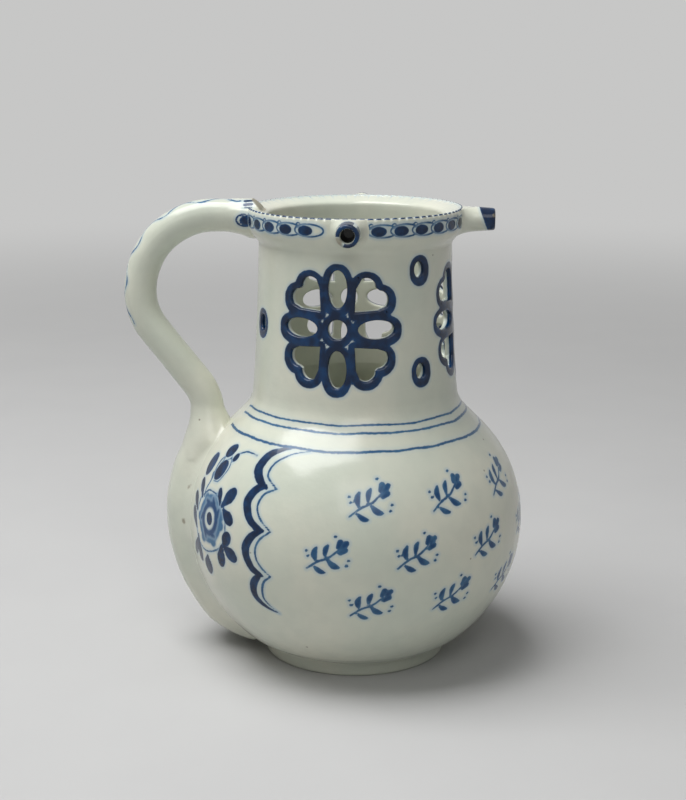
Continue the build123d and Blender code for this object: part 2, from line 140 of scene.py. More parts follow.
def build_glaze_group():
    sockets = [("Warm", COLOUR, WARM_WHITE), ("Cool", COLOUR, COOL_WHITE)]
    results = [("Color", COLOUR), ("Roughness", NUMBER), ("Height", NUMBER)]
    tree, given, result = new_group("tin glaze", "ShaderNodeTree", sockets, results)
    place = object_place(tree)
    clouds = ease(tree, noise(tree, place, cloud_lumps, 3.0), 0.3, 0.7)
    ground = mix_colour(tree, clouds, given["Warm"], given["Cool"])
    patches = noise(tree, place, mottle_lumps, 4.0)
    mottle = ease(tree, patches, 0.35, 0.75, 0.0, mottle_strength)
    ground = mix_colour(tree, mottle, ground, MOTTLE_GREEN)
    # Iron specks: a few cells of a Voronoi pattern, each with a dark middle
    cells = add_node(tree, "ShaderNodeTexVoronoi", {"Vector": place, "Scale": speck_cells})
    chance = add_node(tree, "ShaderNodeSeparateColor", {0: cells.outputs["Color"]}).outputs[0]
    few = maths(tree, "GREATER_THAN", chance, speck_rarity)
    middle = ease(tree, cells.outputs["Distance"], 0.11, 0.05)
    speck = maths(tree, "MULTIPLY", few, middle)
    stain = maths(tree, "MULTIPLY", speck, speck_strength)
    ground = mix_colour(tree, stain, ground, IRON_BROWN)
    # Orange peel, low waves from the dipping, and pinholes
    peel = noise(tree, place, peel_lumps, 2.0)
    waves = noise(tree, place, wave_lumps, 2.0)
    height = maths(tree, "ADD", maths(tree, "MULTIPLY", peel, peel_share), waves)
    height = maths(tree, "SUBTRACT", height, speck)
    tree.links.new(ground, result["Color"])
    tree.links.new(ease(tree, waves, 0.3, 0.7, glossy, dull), result["Roughness"])
    tree.links.new(height, result["Height"])
    return tree


glaze_group = build_glaze_group()
print("group", glaze_group.name, "with", len(glaze_group.nodes), "nodes")

# %% [markdown]
# ## Cobalt painting
# Cobalt goes on with a wet brush and sinks into the raw glaze. Where the brush rested the
# blue is nearly black, between the hairs it is lighter, and a faint blue haze spreads
# round each stroke in the fire. The group takes the stored distance from the paint, in
# millimetres and negative inside a stroke, and lays the blue over the colour below.

# %% The cobalt group
NAVY = (0.0004, 0.0125, 0.046, 1)
COBALT = (0.0014, 0.046, 0.146, 1)
SLATE = (0.040, 0.135, 0.260, 1)
HAZE = (0.36, 0.49, 0.58, 1)
LINE_BLUE = (0.016, 0.075, 0.190, 1)
BLOOM = (0.065, 0.175, 0.32, 1)
brush_lumps, pool_lumps = 620, 210  # per metre
haze_reach = 1.5  # mm that the haze spreads from a stroke
hair_light, edge_light = 0.7, 0.45  # how much lighter between the hairs, and at the edge


def build_cobalt_group():
    sockets = [
        ("Below", COLOUR, (1, 1, 1, 1)), ("Distance", NUMBER, 9.0),
        ("Dark", COLOUR, NAVY), ("Light", COLOUR, COBALT),
        ("Softness", NUMBER, 0.16), ("Wobble", NUMBER, 0.35), ("Haze", NUMBER, 0.45),
    ]
    tree, given, result = new_group("cobalt", "ShaderNodeTree", sockets, [("Color", COLOUR)])
    place = object_place(tree)
    edge_waver = waver(tree, place, brush_lumps, given["Wobble"])
    distance = maths(tree, "ADD", given["Distance"], edge_waver)
    haze = maths(tree, "MULTIPLY", ease(tree, distance, haze_reach, 0.0), given["Haze"])
    below = mix_colour(tree, haze, given["Below"], HAZE)
    pooled = ease(tree, noise(tree, place, pool_lumps, 2.0), 0.38, 0.72, 0.0, hair_light)
    edge = ease(tree, distance, -0.75, -0.1, 0.0, edge_light)
    light = maths(tree, "MINIMUM", maths(tree, "ADD", pooled, edge), 1.0)
    blue = mix_colour(tree, light, given["Dark"], given["Light"])
    softness = given["Softness"]
    inside = ease(tree, distance, softness, maths(tree, "MULTIPLY", softness, -1.0))
    tree.links.new(mix_colour(tree, inside, below, blue), result["Color"])
    return tree


cobalt_group = build_cobalt_group()

# %% [markdown]
# ## The finished glazes
# Each material starts from the ground and lays its paints over it, the palest first, as
# the painter did. Bare patches, where the glaze is worn or chipped away, come last: they
# are buff and rough, darkened in part as painted shade, and the thin glassy coat ends at them.

# %% Build the glazes
# The dark end of the bare clay is bare clay colour made darker, in part as painted shade on the
# handle's worn slope
BUFF_AND_SHADE, PALE_CLAY = (0.11, 0.085, 0.05, 1), (0.40, 0.36, 0.27, 1)
ring_lumps, ring_shake = 45, 2.0  # per metre; mm
wear_lumps, clay_lumps = 480, 700  # per metre
wear_ragged, wear_edge = 2.6, 0.5  # mm
bare_share, bare_roughness = 0.75, 0.45
coat_weight, coat_roughness, glaze_ior = 0.1, 0.10, 1.4
bump_strength, bump_depth = 0.35, 0.0006


def paint_distance(tree, name):
    return add_node(tree, "ShaderNodeAttribute", attribute_name=name).outputs["Fac"]


def lay_cobalt(tree, colour, distance, dark, light, **values):
    """Lay one paint over a colour."""
    inputs = {"Below": colour, "Distance": distance, "Dark": dark, "Light": light, **values}
    return add_node(tree, "ShaderNodeGroup", inputs, node_tree=cobalt_group).outputs[0]


def lay_rings(tree, colour, rings):
    """Lay painted rings, each given as (height, half width), over a colour."""
    place = object_place(tree)
    height = add_node(tree, "ShaderNodeSeparateXYZ", {0: place}).outputs["Z"]
    shake = waver(tree, place, ring_lumps, ring_shake)
    gap = paint_distance(tree, "ring_end")
    for ring_height, half_width in rings:
        offset = maths(tree, "SUBTRACT", maths(tree, "MULTIPLY", height, 1 / MM), ring_height)
        offset = maths(tree, "ABSOLUTE", maths(tree, "ADD", offset, shake))
        offset = maths(tree, "SUBTRACT", offset, half_width)
        offset = maths(tree, "MAXIMUM", offset, gap)
        colour = lay_cobalt(tree, colour, offset, LINE_BLUE, SLATE, Haze=0.2, Wobble=0.5)
    return colour


def wear_off(tree, colour, roughness):
    """Bare the clay where the stored distance says so: colour, roughness and coat."""
    place = object_place(tree)
    ragged = waver(tree, place, wear_lumps, wear_ragged, 4.0)
    worn = maths(tree, "ADD", paint_distance(tree, "bare"), ragged)
    worn = ease(tree, worn, wear_edge, -wear_edge)
    # Bare clay, its dark tone partly painted shade
    clay = mix_colour(tree, noise(tree, place, clay_lumps, 4.0), BUFF_AND_SHADE, PALE_CLAY)
    colour = mix_colour(tree, maths(tree, "MULTIPLY", worn, bare_share), colour, clay)
    rougher = maths(tree, "MULTIPLY", worn, bare_roughness)
    coat = maths(tree, "MULTIPLY", maths(tree, "SUBTRACT", 1.0, worn), coat_weight)
    return colour, maths(tree, "ADD", roughness, rougher), coat


def make_glaze(name, paints, rings=(), bare=False):
    """A glaze with paints given as (attribute, dark, light) and perhaps a softness."""
    material = bpy.data.materials.new(name)
    material.use_nodes = True
    tree = material.node_tree
    tree.nodes.clear()
    ground = add_node(tree, "ShaderNodeGroup", node_tree=glaze_group)
    colour, roughness = ground.outputs["Color"], ground.outputs["Roughness"]
    coat = coat_weight
    for attribute, dark, light, *softness in paints:
        values = {"Softness": softness[0]} if softness else {}
        colour = lay_cobalt(tree, colour, paint_distance(tree, attribute), dark, light, **values)
    if rings:
        colour = lay_rings(tree, colour, rings)
    if bare:
        colour, roughness, coat = wear_off(tree, colour, roughness)
    waves = {"Strength": bump_strength, "Distance": bump_depth, "Height": ground.outputs["Height"]}
    inputs = {
        "Base Color": colour, "Roughness": roughness,
        "Normal": add_node(tree, "ShaderNodeBump", waves).outputs[0],
        "IOR": glaze_ior, "Coat Weight": coat, "Coat Roughness": coat_roughness,
    }
    shader = add_node(tree, "ShaderNodeBsdfPrincipled", inputs)
    add_node(tree, "ShaderNodeOutputMaterial", {"Surface": shader.outputs[0]})
    return material


# %% [markdown]
# ## Helpers for meshes and brush strokes
# A thrown piece is a section spun about the axis, as on the wheel. A brush stroke is a
# smooth line of points with a half width at each, so it swells and tapers; its distance
# from a point of the surface is that to the nearest disc along the line.

# %% Sections, spinning and pieces
FAR = 9.0  # mm, the paint distance where there is none
TINY = 1e-9  # keeps a division from one by nothing
sharp_angle = 50  # degrees, from which an edge stays sharp


def smooth_line(points, step=0.4):
    """A smooth line through points with any number of columns, about a step apart."""
    points = np.asarray(points, float)
    ends = np.vstack([2 * points[0] - points[1], points, 2 * points[-1] - points[-2]])
    runs = []
    for a, b, c, d in zip(ends, ends[1:], ends[2:], ends[3:]):
        count = max(2, int(np.linalg.norm((c - b)[:2]) / step) + 1)
        t = np.linspace(0, 1, count, endpoint=False)[:, None]
        bend = (2 * a - 5 * b + 4 * c - d) * t**2 + (3 * b - a - 3 * c + d) * t**3
        runs.append(0.5 * (2 * b + (c - a) * t + bend))
    return np.vstack(runs + [points[-1:]])


def arc(centre, curve, start, end, step):
    """Points on an arc, as radius and height, between two angles in degrees."""
    count = max(2, int(abs(radians(end - start)) * curve / step) + 1)
    angles = np.radians(np.linspace(start, end, count))
    return np.stack([centre[0] + curve * np.cos(angles), centre[1] + curve * np.sin(angles)], 1)


def round_axis(radius, turn, height):
    """Points about the upright axis, with the turn in radians."""
    across, along = radius * np.cos(turn), radius * np.sin(turn)
    return np.stack(np.broadcast_arrays(across, along, height), -1)


def grid_faces(rows, columns, closed=False):
    """Faces between rows of points that run once round; closed joins the last to the first."""
    index = np.arange(rows * columns).reshape(rows, columns)
    low, high = (index, np.roll(index, -1, 0)) if closed else (index[:-1], index[1:])
    return np.stack([low, np.roll(low, -1, 1), np.roll(high, -1, 1), high], -1).reshape(-1, 4)


def spin(section, azimuths, closed=False):
    """Spin a section of radius and height about the axis; returns points and faces."""
    radius, height = np.asarray(section).T
    points = round_axis(radius[:, None], np.radians(azimuths), height[:, None])
    return points.reshape(-1, 3), grid_faces(len(radius), len(azimuths), closed)


def put_in_scene(name, data):
    """A new object for a mesh, a curve, a lamp or a camera."""
    thing = bpy.data.objects.new(name, data)
    bpy.context.scene.collection.objects.link(thing)
    return thing


def make_piece(name, points, faces, merge=True):
    """A smooth-shaded mesh object from points in millimetres."""
    mesh = bpy.data.meshes.new(name)
    mesh.from_pydata((np.asarray(points) * MM).tolist(), [], [list(face) for face in faces])
    if merge:
        form = bmesh.new()
        form.from_mesh(mesh)
        bmesh.ops.remove_doubles(form, verts=form.verts, dist=1e-6)
        bmesh.ops.dissolve_degenerate(form, edges=form.edges, dist=1e-7)
        form.to_mesh(mesh)
        form.free()
    mesh.shade_smooth()
    mesh.set_sharp_from_angle(angle=radians(sharp_angle))
    return put_in_scene(name, mesh)


def places_of(piece):
    """The places of a piece's points, in millimetres."""
    flat = np.empty(3 * len(piece.data.vertices))
    piece.data.vertices.foreach_get("co", flat)
    return flat.reshape(-1, 3) / MM


def store_paint(piece, name, distances):
    """Store one paint's distance on every point."""
    paint = piece.data.attributes.new(name, "FLOAT", "POINT")
    paint.data.foreach_set("value", np.clip(distances, -FAR, FAR).astype(np.float32))


def hand_over(piece, material, *nodes):
    """Give a finished piece its glaze and its place in the frame."""
    piece.data.materials.clear()
    piece.data.materials.append(material)
    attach(piece, "root")
    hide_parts(*nodes)
    triangles = sum(len(face.vertices) - 2 for face in piece.data.polygons)
    print(piece.name, triangles, "triangles, in place of", ", ".join(nodes))


# %% Brush strokes
stroke_reach = 4.0  # mm round a stroke where its distance is worked out


def stroke_distances(places, strokes):
    """Distance of each place from the nearest of some strokes of x, y, z and half width."""
    nearest = np.full(len(places), FAR)
    for line in strokes:
        low, high = line[:, :3].min(0) - stroke_reach, line[:, :3].max(0) + stroke_reach
        near = np.flatnonzero(np.all((places > low) & (places < high), axis=1))
        if len(near):
            gaps = np.linalg.norm(places[near][:, None] - line[None, :, :3], axis=2) - line[:, 3]
            nearest[near] = np.minimum(nearest[near], gaps.min(1))
    return nearest


def ellipse_distance(across, up, half_across, half_up):
    """Nearly the distance from an ellipse's outline, negative inside."""
    far = np.hypot(across / half_across, up / half_up)
    steep = np.hypot(across / half_across**2, up / half_up**2) + TINY
    return far * (far - 1) / steep


def mirrored(strokes):
    """Strokes and their mirror images in the plane through the handle."""
    return strokes + [line * (1, -1, 1, 1) for line in strokes]


def run_along(line):
    """How far along a line each of its points lies."""
    return np.concatenate([[0], np.cumsum(np.linalg.norm(np.diff(line, axis=0), axis=1))])


# %% [markdown]
# ## The belly
# The belly is one thrown globe: foot, round body, sloping shoulder and the hollow curve
# that leads into the neck. Its section is two arcs with a straight shoulder, measured
# from the photograph's outline, and the hollow follows it 4 mm further in. The mesh is
# finer on the two painted sides and up to the highest stroke than elsewhere, so that the
# brush strokes stay crisp without making the whole belly heavy.

# %% The belly's section
girth_radius, girth_height = 68.8, 57.5
lower_curve, upper_curve = 61.2, 53.3
wall = 4.0
seam_height, neck_foot_radius, collar_radius = 112.984, 41.4, 37.9
shoulder_slope = 45  # degrees
floor_height, edge_inset = 5.5, 0.06
fine_row, coarse_row, inner_row = 0.70, 1.5, 7.0
stroke_top = 98.2  # mm, the highest brush stroke on the belly
lower_centre = (girth_radius - lower_curve, girth_height)
upper_centre = (girth_radius - upper_curve, girth_height)


def shoulder_and_root(inset, step):
    """The belly's section from the girth up to the seam."""
    rise = arc(upper_centre, upper_curve - inset, 0, shoulder_slope, step)
    collar = collar_radius if inset else neck_foot_radius
    corner_height = rise[-1, 1] + rise[-1, 0] - collar
    curve = (seam_height - corner_height) / tan(radians(shoulder_slope / 2))
    # No brush stroke reaches above stroke_top, so the rows are coarser from there
    plain_step = max(step, coarse_row)
    root = arc((collar + curve, seam_height), curve, 180 + shoulder_slope, 180, plain_step)
    first, last = rise[-1, 1], root[0, 1] - 0.3 * plain_step
    steepness = sin(radians(shoulder_slope))
    painted = np.arange(first, stroke_top, step * steepness)
    plain = np.arange(stroke_top, last, plain_step * steepness)
    heights = np.concatenate([painted, plain])[1:]
    straight = np.stack([rise[-1, 0] + first - heights, heights], 1)
    return np.vstack([rise, straight, root])


foot = smooth_line(
    [
        (30, 0.25), (34.5, 0.08), (36.4, 0.0), (37.25, 0.35), (37.6, 1.1), (37.62, 3.0),
        (37.65, 4.7), (37.9, 5.45), (38.7, 5.95), (40.2, 6.6), (42.7, 7.9), (45.5, 9.7),
    ],
    coarse_row,
)
outside = np.vstack(
    [
        [(0.0, 0.35), (12, 0.35), (22, 0.33)],
        foot,
        arc(lower_centre, lower_curve, -50.5, -23, coarse_row),
        arc(lower_centre, lower_curve, -23, 0, fine_row)[1:-1],
        shoulder_and_root(0, fine_row),
    ]
)
outside[-2] = outside[-1] - (0, edge_inset)
hollow = np.vstack(
    [
        [(0.0, floor_height), (10, floor_height), (20, floor_height), (26, 5.6), (32, 6.6)],
        arc(lower_centre, lower_curve - wall, -57, 0, inner_row)[:-1],
        shoulder_and_root(wall, inner_row),
    ]
)
foot_top = 6.0  # mm, from where the outside grows with the height
girth_up = outside[np.argmax(outside[:, 1] > foot_top) :]


def belly_radius(height):
    """The outside radius of the belly at a height."""
    return np.interp(height, girth_up[:, 1], girth_up[:, 0])


print("belly section:", len(outside), "rows outside,", len(hollow), "inside")

# %% The belly's mesh
side_step, panel_step, back_step = 0.47, 0.70, 1.3  # degrees


def columns(ranges):
    """Azimuths in degrees over ranges of (start, end, step), an even number in each."""
    runs = []
    for start, end, step in ranges:
        pairs = int((end - start) / step / 2 + 0.5)
        runs.append(np.linspace(start, end, 2 * pairs, endpoint=False))
    return np.concatenate(runs)


azimuths = columns(
    [
        (-106, 106, panel_step), (106, 167, side_step),
        (167, 193, back_step), (193, 254, side_step),
    ]
)


def spin_belly():
    """Outside and hollow, joined at the seam, where two outer columns go into one."""
    points, faces = spin(outside, azimuths)
    inner_points, inner_faces = spin(hollow, azimuths[::2])
    first, count, inner_count = len(points), len(azimuths), len(azimuths[::2])
    top = first - count + np.arange(count)
    inner_top = first + len(inner_points) - inner_count + np.arange(inner_count)
    rim = []
    for k in range(inner_count):
        a, b, c = top[2 * k], top[2 * k + 1], top[(2 * k + 2) % count]
        here, after = inner_top[k], inner_top[(k + 1) % inner_count]
        rim += [(a, b, here), (b, after, here), (b, c, after)]
    all_faces = faces.tolist() + (inner_faces[:, ::-1] + first).tolist() + rim
    return make_piece("thrown_belly", np.vstack([points, inner_points]), all_faces)


thrown_belly = spin_belly()

# %% [markdown]
# ## The painting on the belly
# Each flank, beside the handle, has a flower spray, and a border of four scallops divides
# it from the wide panel under the spouts: a thick stroke outside and a thin one inside.
# The two flanks mirror each other. Strokes are given as azimuth and height, or for the
# flower as millimetres across and up from its middle, and mapped on to the section.

# %% Strokes of the scalloped borders
border_step, flower_step = 0.45, 0.4  # mm, or degrees, between the discs of a stroke
thick_brush = 1.17  # how much wider than drawn the thick scallops are


def brush_line(turn, height, half_width):
    """Discs of a stroke on the belly: x, y, z and half width."""
    return np.column_stack([round_axis(belly_radius(height), turn, height), half_width])


def on_belly(line):
    """Lay a line of azimuth, height and half width on the belly."""
    azimuth, height, half_width = smooth_line(line, border_step).T
    return brush_line(np.radians(azimuth), height, half_width)


thick_scallops = [
    [(246.1, 97.1, 0.2), (241.6, 96.4, 0.75), (236.1, 94.1, 1.5), (233.8, 89.9, 1.8),
     (234.9, 87.0, 1.7), (237.5, 84.6, 1.3), (240.3, 83.2, 0.6)],
    [(239.6, 83.8, 0.8), (235.9, 81.8, 1.5), (233.8, 77.8, 1.7), (234.5, 74.3, 1.7),
     (236.3, 71.0, 1.4), (239.2, 68.8, 1.2), (242.1, 67.9, 0.5)],
    [(241.4, 67.9, 0.8), (237.8, 65.1, 1.4), (235.6, 60.9, 1.7), (235.7, 56.9, 1.6),
     (237.6, 52.8, 1.4), (239.4, 51.2, 1.2), (241.9, 50.0, 0.5)],
    [(240.8, 50.3, 0.9), (238.0, 46.0, 1.5), (237.5, 41.4, 1.3), (239.3, 38.2, 1.0),
     (242.1, 36.1, 0.65), (246.3, 34.4, 0.25)],
]
thin_scallops = [
    [(254.1, 96.9, 0.4), (246.2, 95.2, 0.42), (240.4, 91.9, 0.5), (239.0, 87.9, 0.5),
     (241.3, 85.5, 0.45), (244.6, 83.5, 0.4)],
    [(244.6, 83.5, 0.4), (240.1, 81.1, 0.5), (238.4, 76.9, 0.52), (239.4, 73.5, 0.5),
     (241.8, 70.6, 0.45), (244.8, 68.1, 0.4)],
    [(244.8, 68.1, 0.4), (240.9, 64.4, 0.48), (239.4, 60.2, 0.5), (239.9, 56.3, 0.48),
     (242.0, 53.0, 0.45), (245.0, 50.3, 0.4)],
    [(245.0, 50.3, 0.4), (242.2, 47.5, 0.55), (241.1, 43.2, 0.55), (241.6, 39.2, 0.45),
     (245.9, 34.6, 0.3)],
]
border_strokes = [
    on_belly([(azimuth, height, thick_brush * width) for azimuth, height, width in line])
    for line in thick_scallops
]
thin_strokes = [on_belly(line) for line in thin_scallops]

# %% Strokes of the flower sprays
flower_azimuth, flower_height = 215.8, 66.1
flower_squash = 1.12  # the flower is a little higher than wide
section_run = run_along(girth_up)


def beside_flower(line):
    """Lay a line of across, up and half width, from the flower's middle, on the belly."""
    across, up, half_width = smooth_line(line, flower_step).T
    middle = np.interp(flower_height, girth_up[:, 1], section_run)
    height = np.interp(middle + up, section_run, girth_up[:, 1])
    return brush_line(radians(flower_azimuth) + across / belly_radius(height), height, half_width)


leaf_swell = ((0.0, 0.3), (0.3, 0.62), (0.62, 1.0), (0.86, 0.8))  # share of the run, of the width
bud_swell = ((0.1, 0.5), (0.35, 0.95), (0.62, 1.0), (0.86, 0.8))


def leaf(base, tip, half_width, shares=leaf_swell):
    """A leaf pressed with a loaded brush: thin at its base, round towards its tip."""
    base, tip = np.array(base), np.array(tip)
    return [(*(base + (tip - base) * share), half_width * width) for share, width in shares]


def round_flower(turn, across, up):
    """A place on an upright ellipse about the flower's middle."""
    return across * cos(turn), up * sin(turn)


def ring(radius, half_width):
    """A round stroke about the flower's middle."""
    turns = np.linspace(0, 2 * pi, 13)
    return [(*round_flower(turn, radius, flower_squash * radius), half_width) for turn in turns]


leaves = [
    ((-9.5, 6.5), (-13.9, 13.1), 1.9), ((5.8, 6.9), (2.9, 13.2), 1.5),
    ((7.2, 6.9), (12.2, 14.2), 2.8), ((8.6, 5.6), (14.4, 1.8), 2.5),
    ((11.1, -7.6), (13.6, -3.6), 2.7), ((11.3, -8.4), (17.8, -12.2), 2.7),
    ((9.9, -8.6), (8.9, -16.6), 2.6), ((-1.4, -16.0), (-2.0, -22.2), 3.1),
    ((-9.4, -9.0), (-8.0, -20.0), 2.1), ((-11.3, -6.5), (-16.8, 0.5), 2.1),
    ((-12.0, 0.5), (-17.4, 6.5), 2.0), ((-10.5, -11.0), (-14.5, -18.0), 2.0),
]
buds = [
    ((-12.8, 15.2), (-10.8, 24.0), 3.0), ((-3.8, 16.0), (-0.6, 22.8), 3.1),
    ((-3.6, 26.4), (-0.8, 30.2), 2.7), ((2.9, 25.2), (3.7, 27.8), 1.5),
]
flower_eye = [(-0.3, 0.6, 2.0), (0, 0, 2.2), (0.3, -0.6, 2.0)]
flower_outline = [
    (-11.6, 1.0, 0.35), (-10.6, 5.6, 0.4), (-8.6, 7.6, 0.42), (-4.2, 10.6, 0.42),
    (3.4, 9.6, 0.42), (9.6, 5.0, 0.42), (11.6, -4.4, 0.42), (7.6, -10.4, 0.42),
    (-2.6, -13.8, 0.42), (-9.4, -10.5, 0.4), (-11.8, -4.5, 0.35),
]
bud_outline = [
    (-6.2, 15.2, 0.36), (-5.6, 23.0, 0.4), (-0.6, 27.0, 0.36),
    (2.6, 22.0, 0.4), (-0.2, 15.6, 0.36), (-4.0, 14.6, 0.36),
]
stalks = [
    [(-7.8, 7.0, 0.42), (-7.9, 10.3, 0.4), (-6.3, 14.1, 0.4), (-7.0, 17.3, 0.4)],
    [(-6.3, 14.1, 0.36), (-4.8, 20.0, 0.36), (-3.4, 25.0, 0.36)],
    [(-4.8, 22.0, 0.35), (0.2, 25.2, 0.35), (3.0, 24.8, 0.35)],
    [(3.5, 28.3, 0.4), (7.9, 30.4, 0.42), (13.8, 30.0, 0.36)],
]
petals = [
    leaf(round_flower(turn, 7.2, 8.2), round_flower(turn, 8.9, 10.2), 2.1)
    for turn in np.arange(0.3, 6.2, 0.98)
]
petal_shades = [
    [(*round_flower(turn, 5.6, 6.3), 1.3), (*round_flower(turn + 0.25, 7.3, 8.3), 0.6)]
    for turn in (0.4, 1.3, 2.0, 3.1, 4.2, 5.2)
]
flower_lines = {
    "bloom": [ring(6.6, 2.5), *petals],
    "wash": [ring(5.1, 1.25), *petal_shades],
    "thin": [flower_outline, *stalks, bud_outline],
    "dark": [leaf(*shape) for shape in leaves],
}
flower_lines["dark"] += [leaf(*shape, bud_swell) for shape in buds] + [flower_eye]
flower_strokes = {
    paint: [beside_flower(line) for line in lines] for paint, lines in flower_lines.items()
}
print("flower:", {paint: len(strokes) for paint, strokes in flower_strokes.items()}, "strokes")

# %% [markdown]
# ## Sprigs in the wide panel
# The panel between the borders has small scattered sprigs, a common filling on such
# ware: a stalk with four leaves, a bud of three petals at its end and a few dots,
# repeated in staggered rows. Only the rows, the step and one sprig are given.

# %% Strokes of the sprigs
sprig_rows = ((80.5, 24.0), (60.5, 9.0), (41.0, 24.0))  # height, azimuth of the first one
sprig_step = 29.0  # degrees
panel_edge = 97.0  # degrees from the middle spout
dot_half_width, dot_length = 0.6, 0.3
sprig_lines = [
    [(-7.6, -4.6, 0.42), (-3.4, -1.6, 0.5), (1.0, 0.2, 0.5), (5.0, 3.4, 0.42)],
    [(-3.8, -1.8, 0.3), (-4.6, 1.4, 1.25), (-3.8, 3.8, 0.6)],
    [(-5.4, -3.0, 0.3), (-2.6, -5.2, 1.1), (-0.6, -5.8, 0.5)],
    [(0.0, -0.2, 0.3), (2.6, -2.8, 1.3), (4.8, -3.6, 0.6)],
    [(-0.6, -0.4, 0.3), (-0.2, 3.2, 1.1), (0.8, 5.0, 0.5)],
    [(5.4, 2.2, 1.0), (7.2, 3.2, 1.2)],
    [(4.6, 4.4, 1.0), (5.4, 6.2, 1.2)],
    [(6.4, 4.4, 1.0), (7.8, 5.8, 1.1)],
]
sprig_dots = [(-7.2, 0.4), (-7.8, 2.4), (3.4, 8.2), (8.4, -0.8), (7.6, -2.8)]
sprig_lines += [
    [(across, up, dot_half_width), (across + dot_length, up, dot_half_width)]
    for across, up in sprig_dots
]


def lay_sprigs():
    """All the sprigs on the front half of the panel, as strokes."""
    strokes = []
    for height, first in sprig_rows:
        radius = belly_radius(height)
        for azimuth in np.arange(-first, -panel_edge, -sprig_step):
            for line in sprig_lines:
                placed = [(azimuth + np.degrees(u / radius), height + v, w) for u, v, w in line]
                strokes.append(on_belly(placed))
    return strokes


sprig_strokes = lay_sprigs()
print(len(sprig_strokes), "strokes of sprigs on each half")

# %% Paint and hand over the belly
belly_rings = ((105.6, 0.36), (102.9, 0.36), (97.3, 0.40))  # height and half width
ring_gap = 11.5  # mm each side of the handle where the painted rings stop
ring_floor, paint_floor = 90.0, 5.0  # mm, the lowest place of the rings and of any paint
belly_strokes = {
    "bloom": flower_strokes["bloom"],
    "wash": flower_strokes["wash"],
    "thin": thin_strokes + flower_strokes["thin"] + sprig_strokes,
    "dark": border_strokes + flower_strokes["dark"],
}


def paint_belly():
    places = places_of(thrown_belly)
    x, y, height = places.T
    outer = (np.hypot(x, y) > belly_radius(height) - wall / 4) & (height > paint_floor)
    for name, strokes in belly_strokes.items():
        distances = stroke_distances(places, mirrored(strokes))
        store_paint(thrown_belly, name, np.where(outer, distances, FAR))
    handle_side = np.where(x < 0, ring_gap - np.abs(y), -FAR)
    ring_end = np.where(outer & (height > ring_floor), handle_side, FAR)
    store_paint(thrown_belly, "ring_end", ring_end)


paint_belly()
belly_glaze = make_glaze(
    "painted_glaze_belly",
    [
        ("bloom", SLATE, BLOOM, 0.5), ("wash", COBALT, LINE_BLUE, 0.7),
        ("thin", COBALT, SLATE), ("dark", NAVY, COBALT),
    ],
    belly_rings,
)
hand_over(thrown_belly, belly_glaze, "belly")

# %% [markdown]
# ## The pierced neck
# The neck is a tapering collar. While it was leather-hard the potter cut three rosettes
# into it, each of an eye, four ovals and four hearts, and small oval holes between them.
# Booleans would leave ragged shading here. Instead the wall is a fine grid, every hole is
# a formula for the distance from its edge, the grid's faces inside a hole are left out,
# and the points round each hole slide on to its outline. From there rings of points round
# the edge over, run through the wall and round over again inside.

# %% The piercings as distances
neck_top, neck_top_radius, neck_wall = 170.5, 38.7, 3.5
neck_waist = 0.35  # mm that the neck curves in between its ends
rosette_height, rosette_azimuths = 142.0, (-97.0, 0.0, 97.0)
eye_radius = 3.8
oval_distance, oval_half_length, oval_half_width = 15.5, 7.3, 3.7
heart_tip, lobe_radius, lobe_spread, lobe_middle = 9.7, 3.8, 3.5, 9.7
hole_half_width, hole_half_length = 2.3, 3.1
small_holes = ((47.5, 164.0), (47.5, 124.4), (153.5, 140.8))  # azimuth and height
heart_side = np.array([7.18, 6.35])  # where the heart's straight side meets its lobe
BEHIND = 99.0  # mm, stands for any place on the far side of the neck


def neck_radius(height):
    """The outside radius of the neck at a height."""
    share = (height - seam_height) / (neck_top - seam_height)
    straight = neck_foot_radius + (neck_top_radius - neck_foot_radius) * share
    return straight - neck_waist * np.sin(pi * np.clip(share, 0, 1))


def heart_distance(along, across):
    """Distance from the outline of a heart that points back along its axis."""
    across = np.abs(across)
    length, width = heart_side
    run = np.clip((along * length + across * width) / (heart_side @ heart_side), 0, 1)
    gap = np.hypot(along - run * length, across - run * width)
    wedge = np.where(across * length > along * width, gap, -gap)
    wedge = np.where(along > lobe_middle, FAR, wedge)
    lobe = np.hypot(along - lobe_middle, across - lobe_spread) - lobe_radius
    return np.minimum(wedge, lobe)


def turned(azimuth, height, centre_azimuth, centre_height, turn=0):
    """Places seen from a hole: along its axis and across it, in millimetres."""
    swing = np.radians(azimuth - centre_azimuth)
    across = np.where(np.cos(swing) > 0, neck_radius(height) * np.sin(swing), BEHIND)
    up = height - centre_height
    c, s = cos(radians(turn)), sin(radians(turn))
    return across * c + up * s, up * c - across * s


def from_rosette(azimuth, height, middle, distance, turn):
    """Places seen from a hole of a rosette, at a distance from the rosette's middle."""
    across, rise = distance * cos(radians(turn)), distance * sin(radians(turn))
    hole_azimuth = middle + np.degrees(across / neck_radius(rosette_height))
    return turned(azimuth, height, hole_azimuth, rosette_height + rise, turn)


def piercing_distance(azimuth, height):
    """Distance of a place on the neck from the nearest hole's edge."""
    nearest = np.full(np.shape(azimuth), FAR)
    for middle in rosette_azimuths:
        seen = turned(azimuth, height, middle, rosette_height)
        nearest = np.minimum(nearest, np.hypot(*seen) - eye_radius)
        for turn in range(0, 360, 90):
            seen = from_rosette(azimuth, height, middle, oval_distance, turn)
            oval = ellipse_distance(*seen, oval_half_length, oval_half_width)
            seen = from_rosette(azimuth, height, middle, heart_tip, turn + 45)
            nearest = np.minimum(nearest, np.minimum(oval, heart_distance(*seen)))
    for middle, hole_height in small_holes:
        for side in (-1, 1):
            seen = turned(azimuth, height, side * middle, hole_height)
            hole = ellipse_distance(*seen, hole_half_width, hole_half_length)
            nearest = np.minimum(nearest, hole)
    return nearest


# %% The neck's mesh
neck_columns, neck_rows = 352, 80
edge_round = 0.75  # mm
nudge = 0.05  # mm over which the distance's slope is taken
slide_rounds = 6


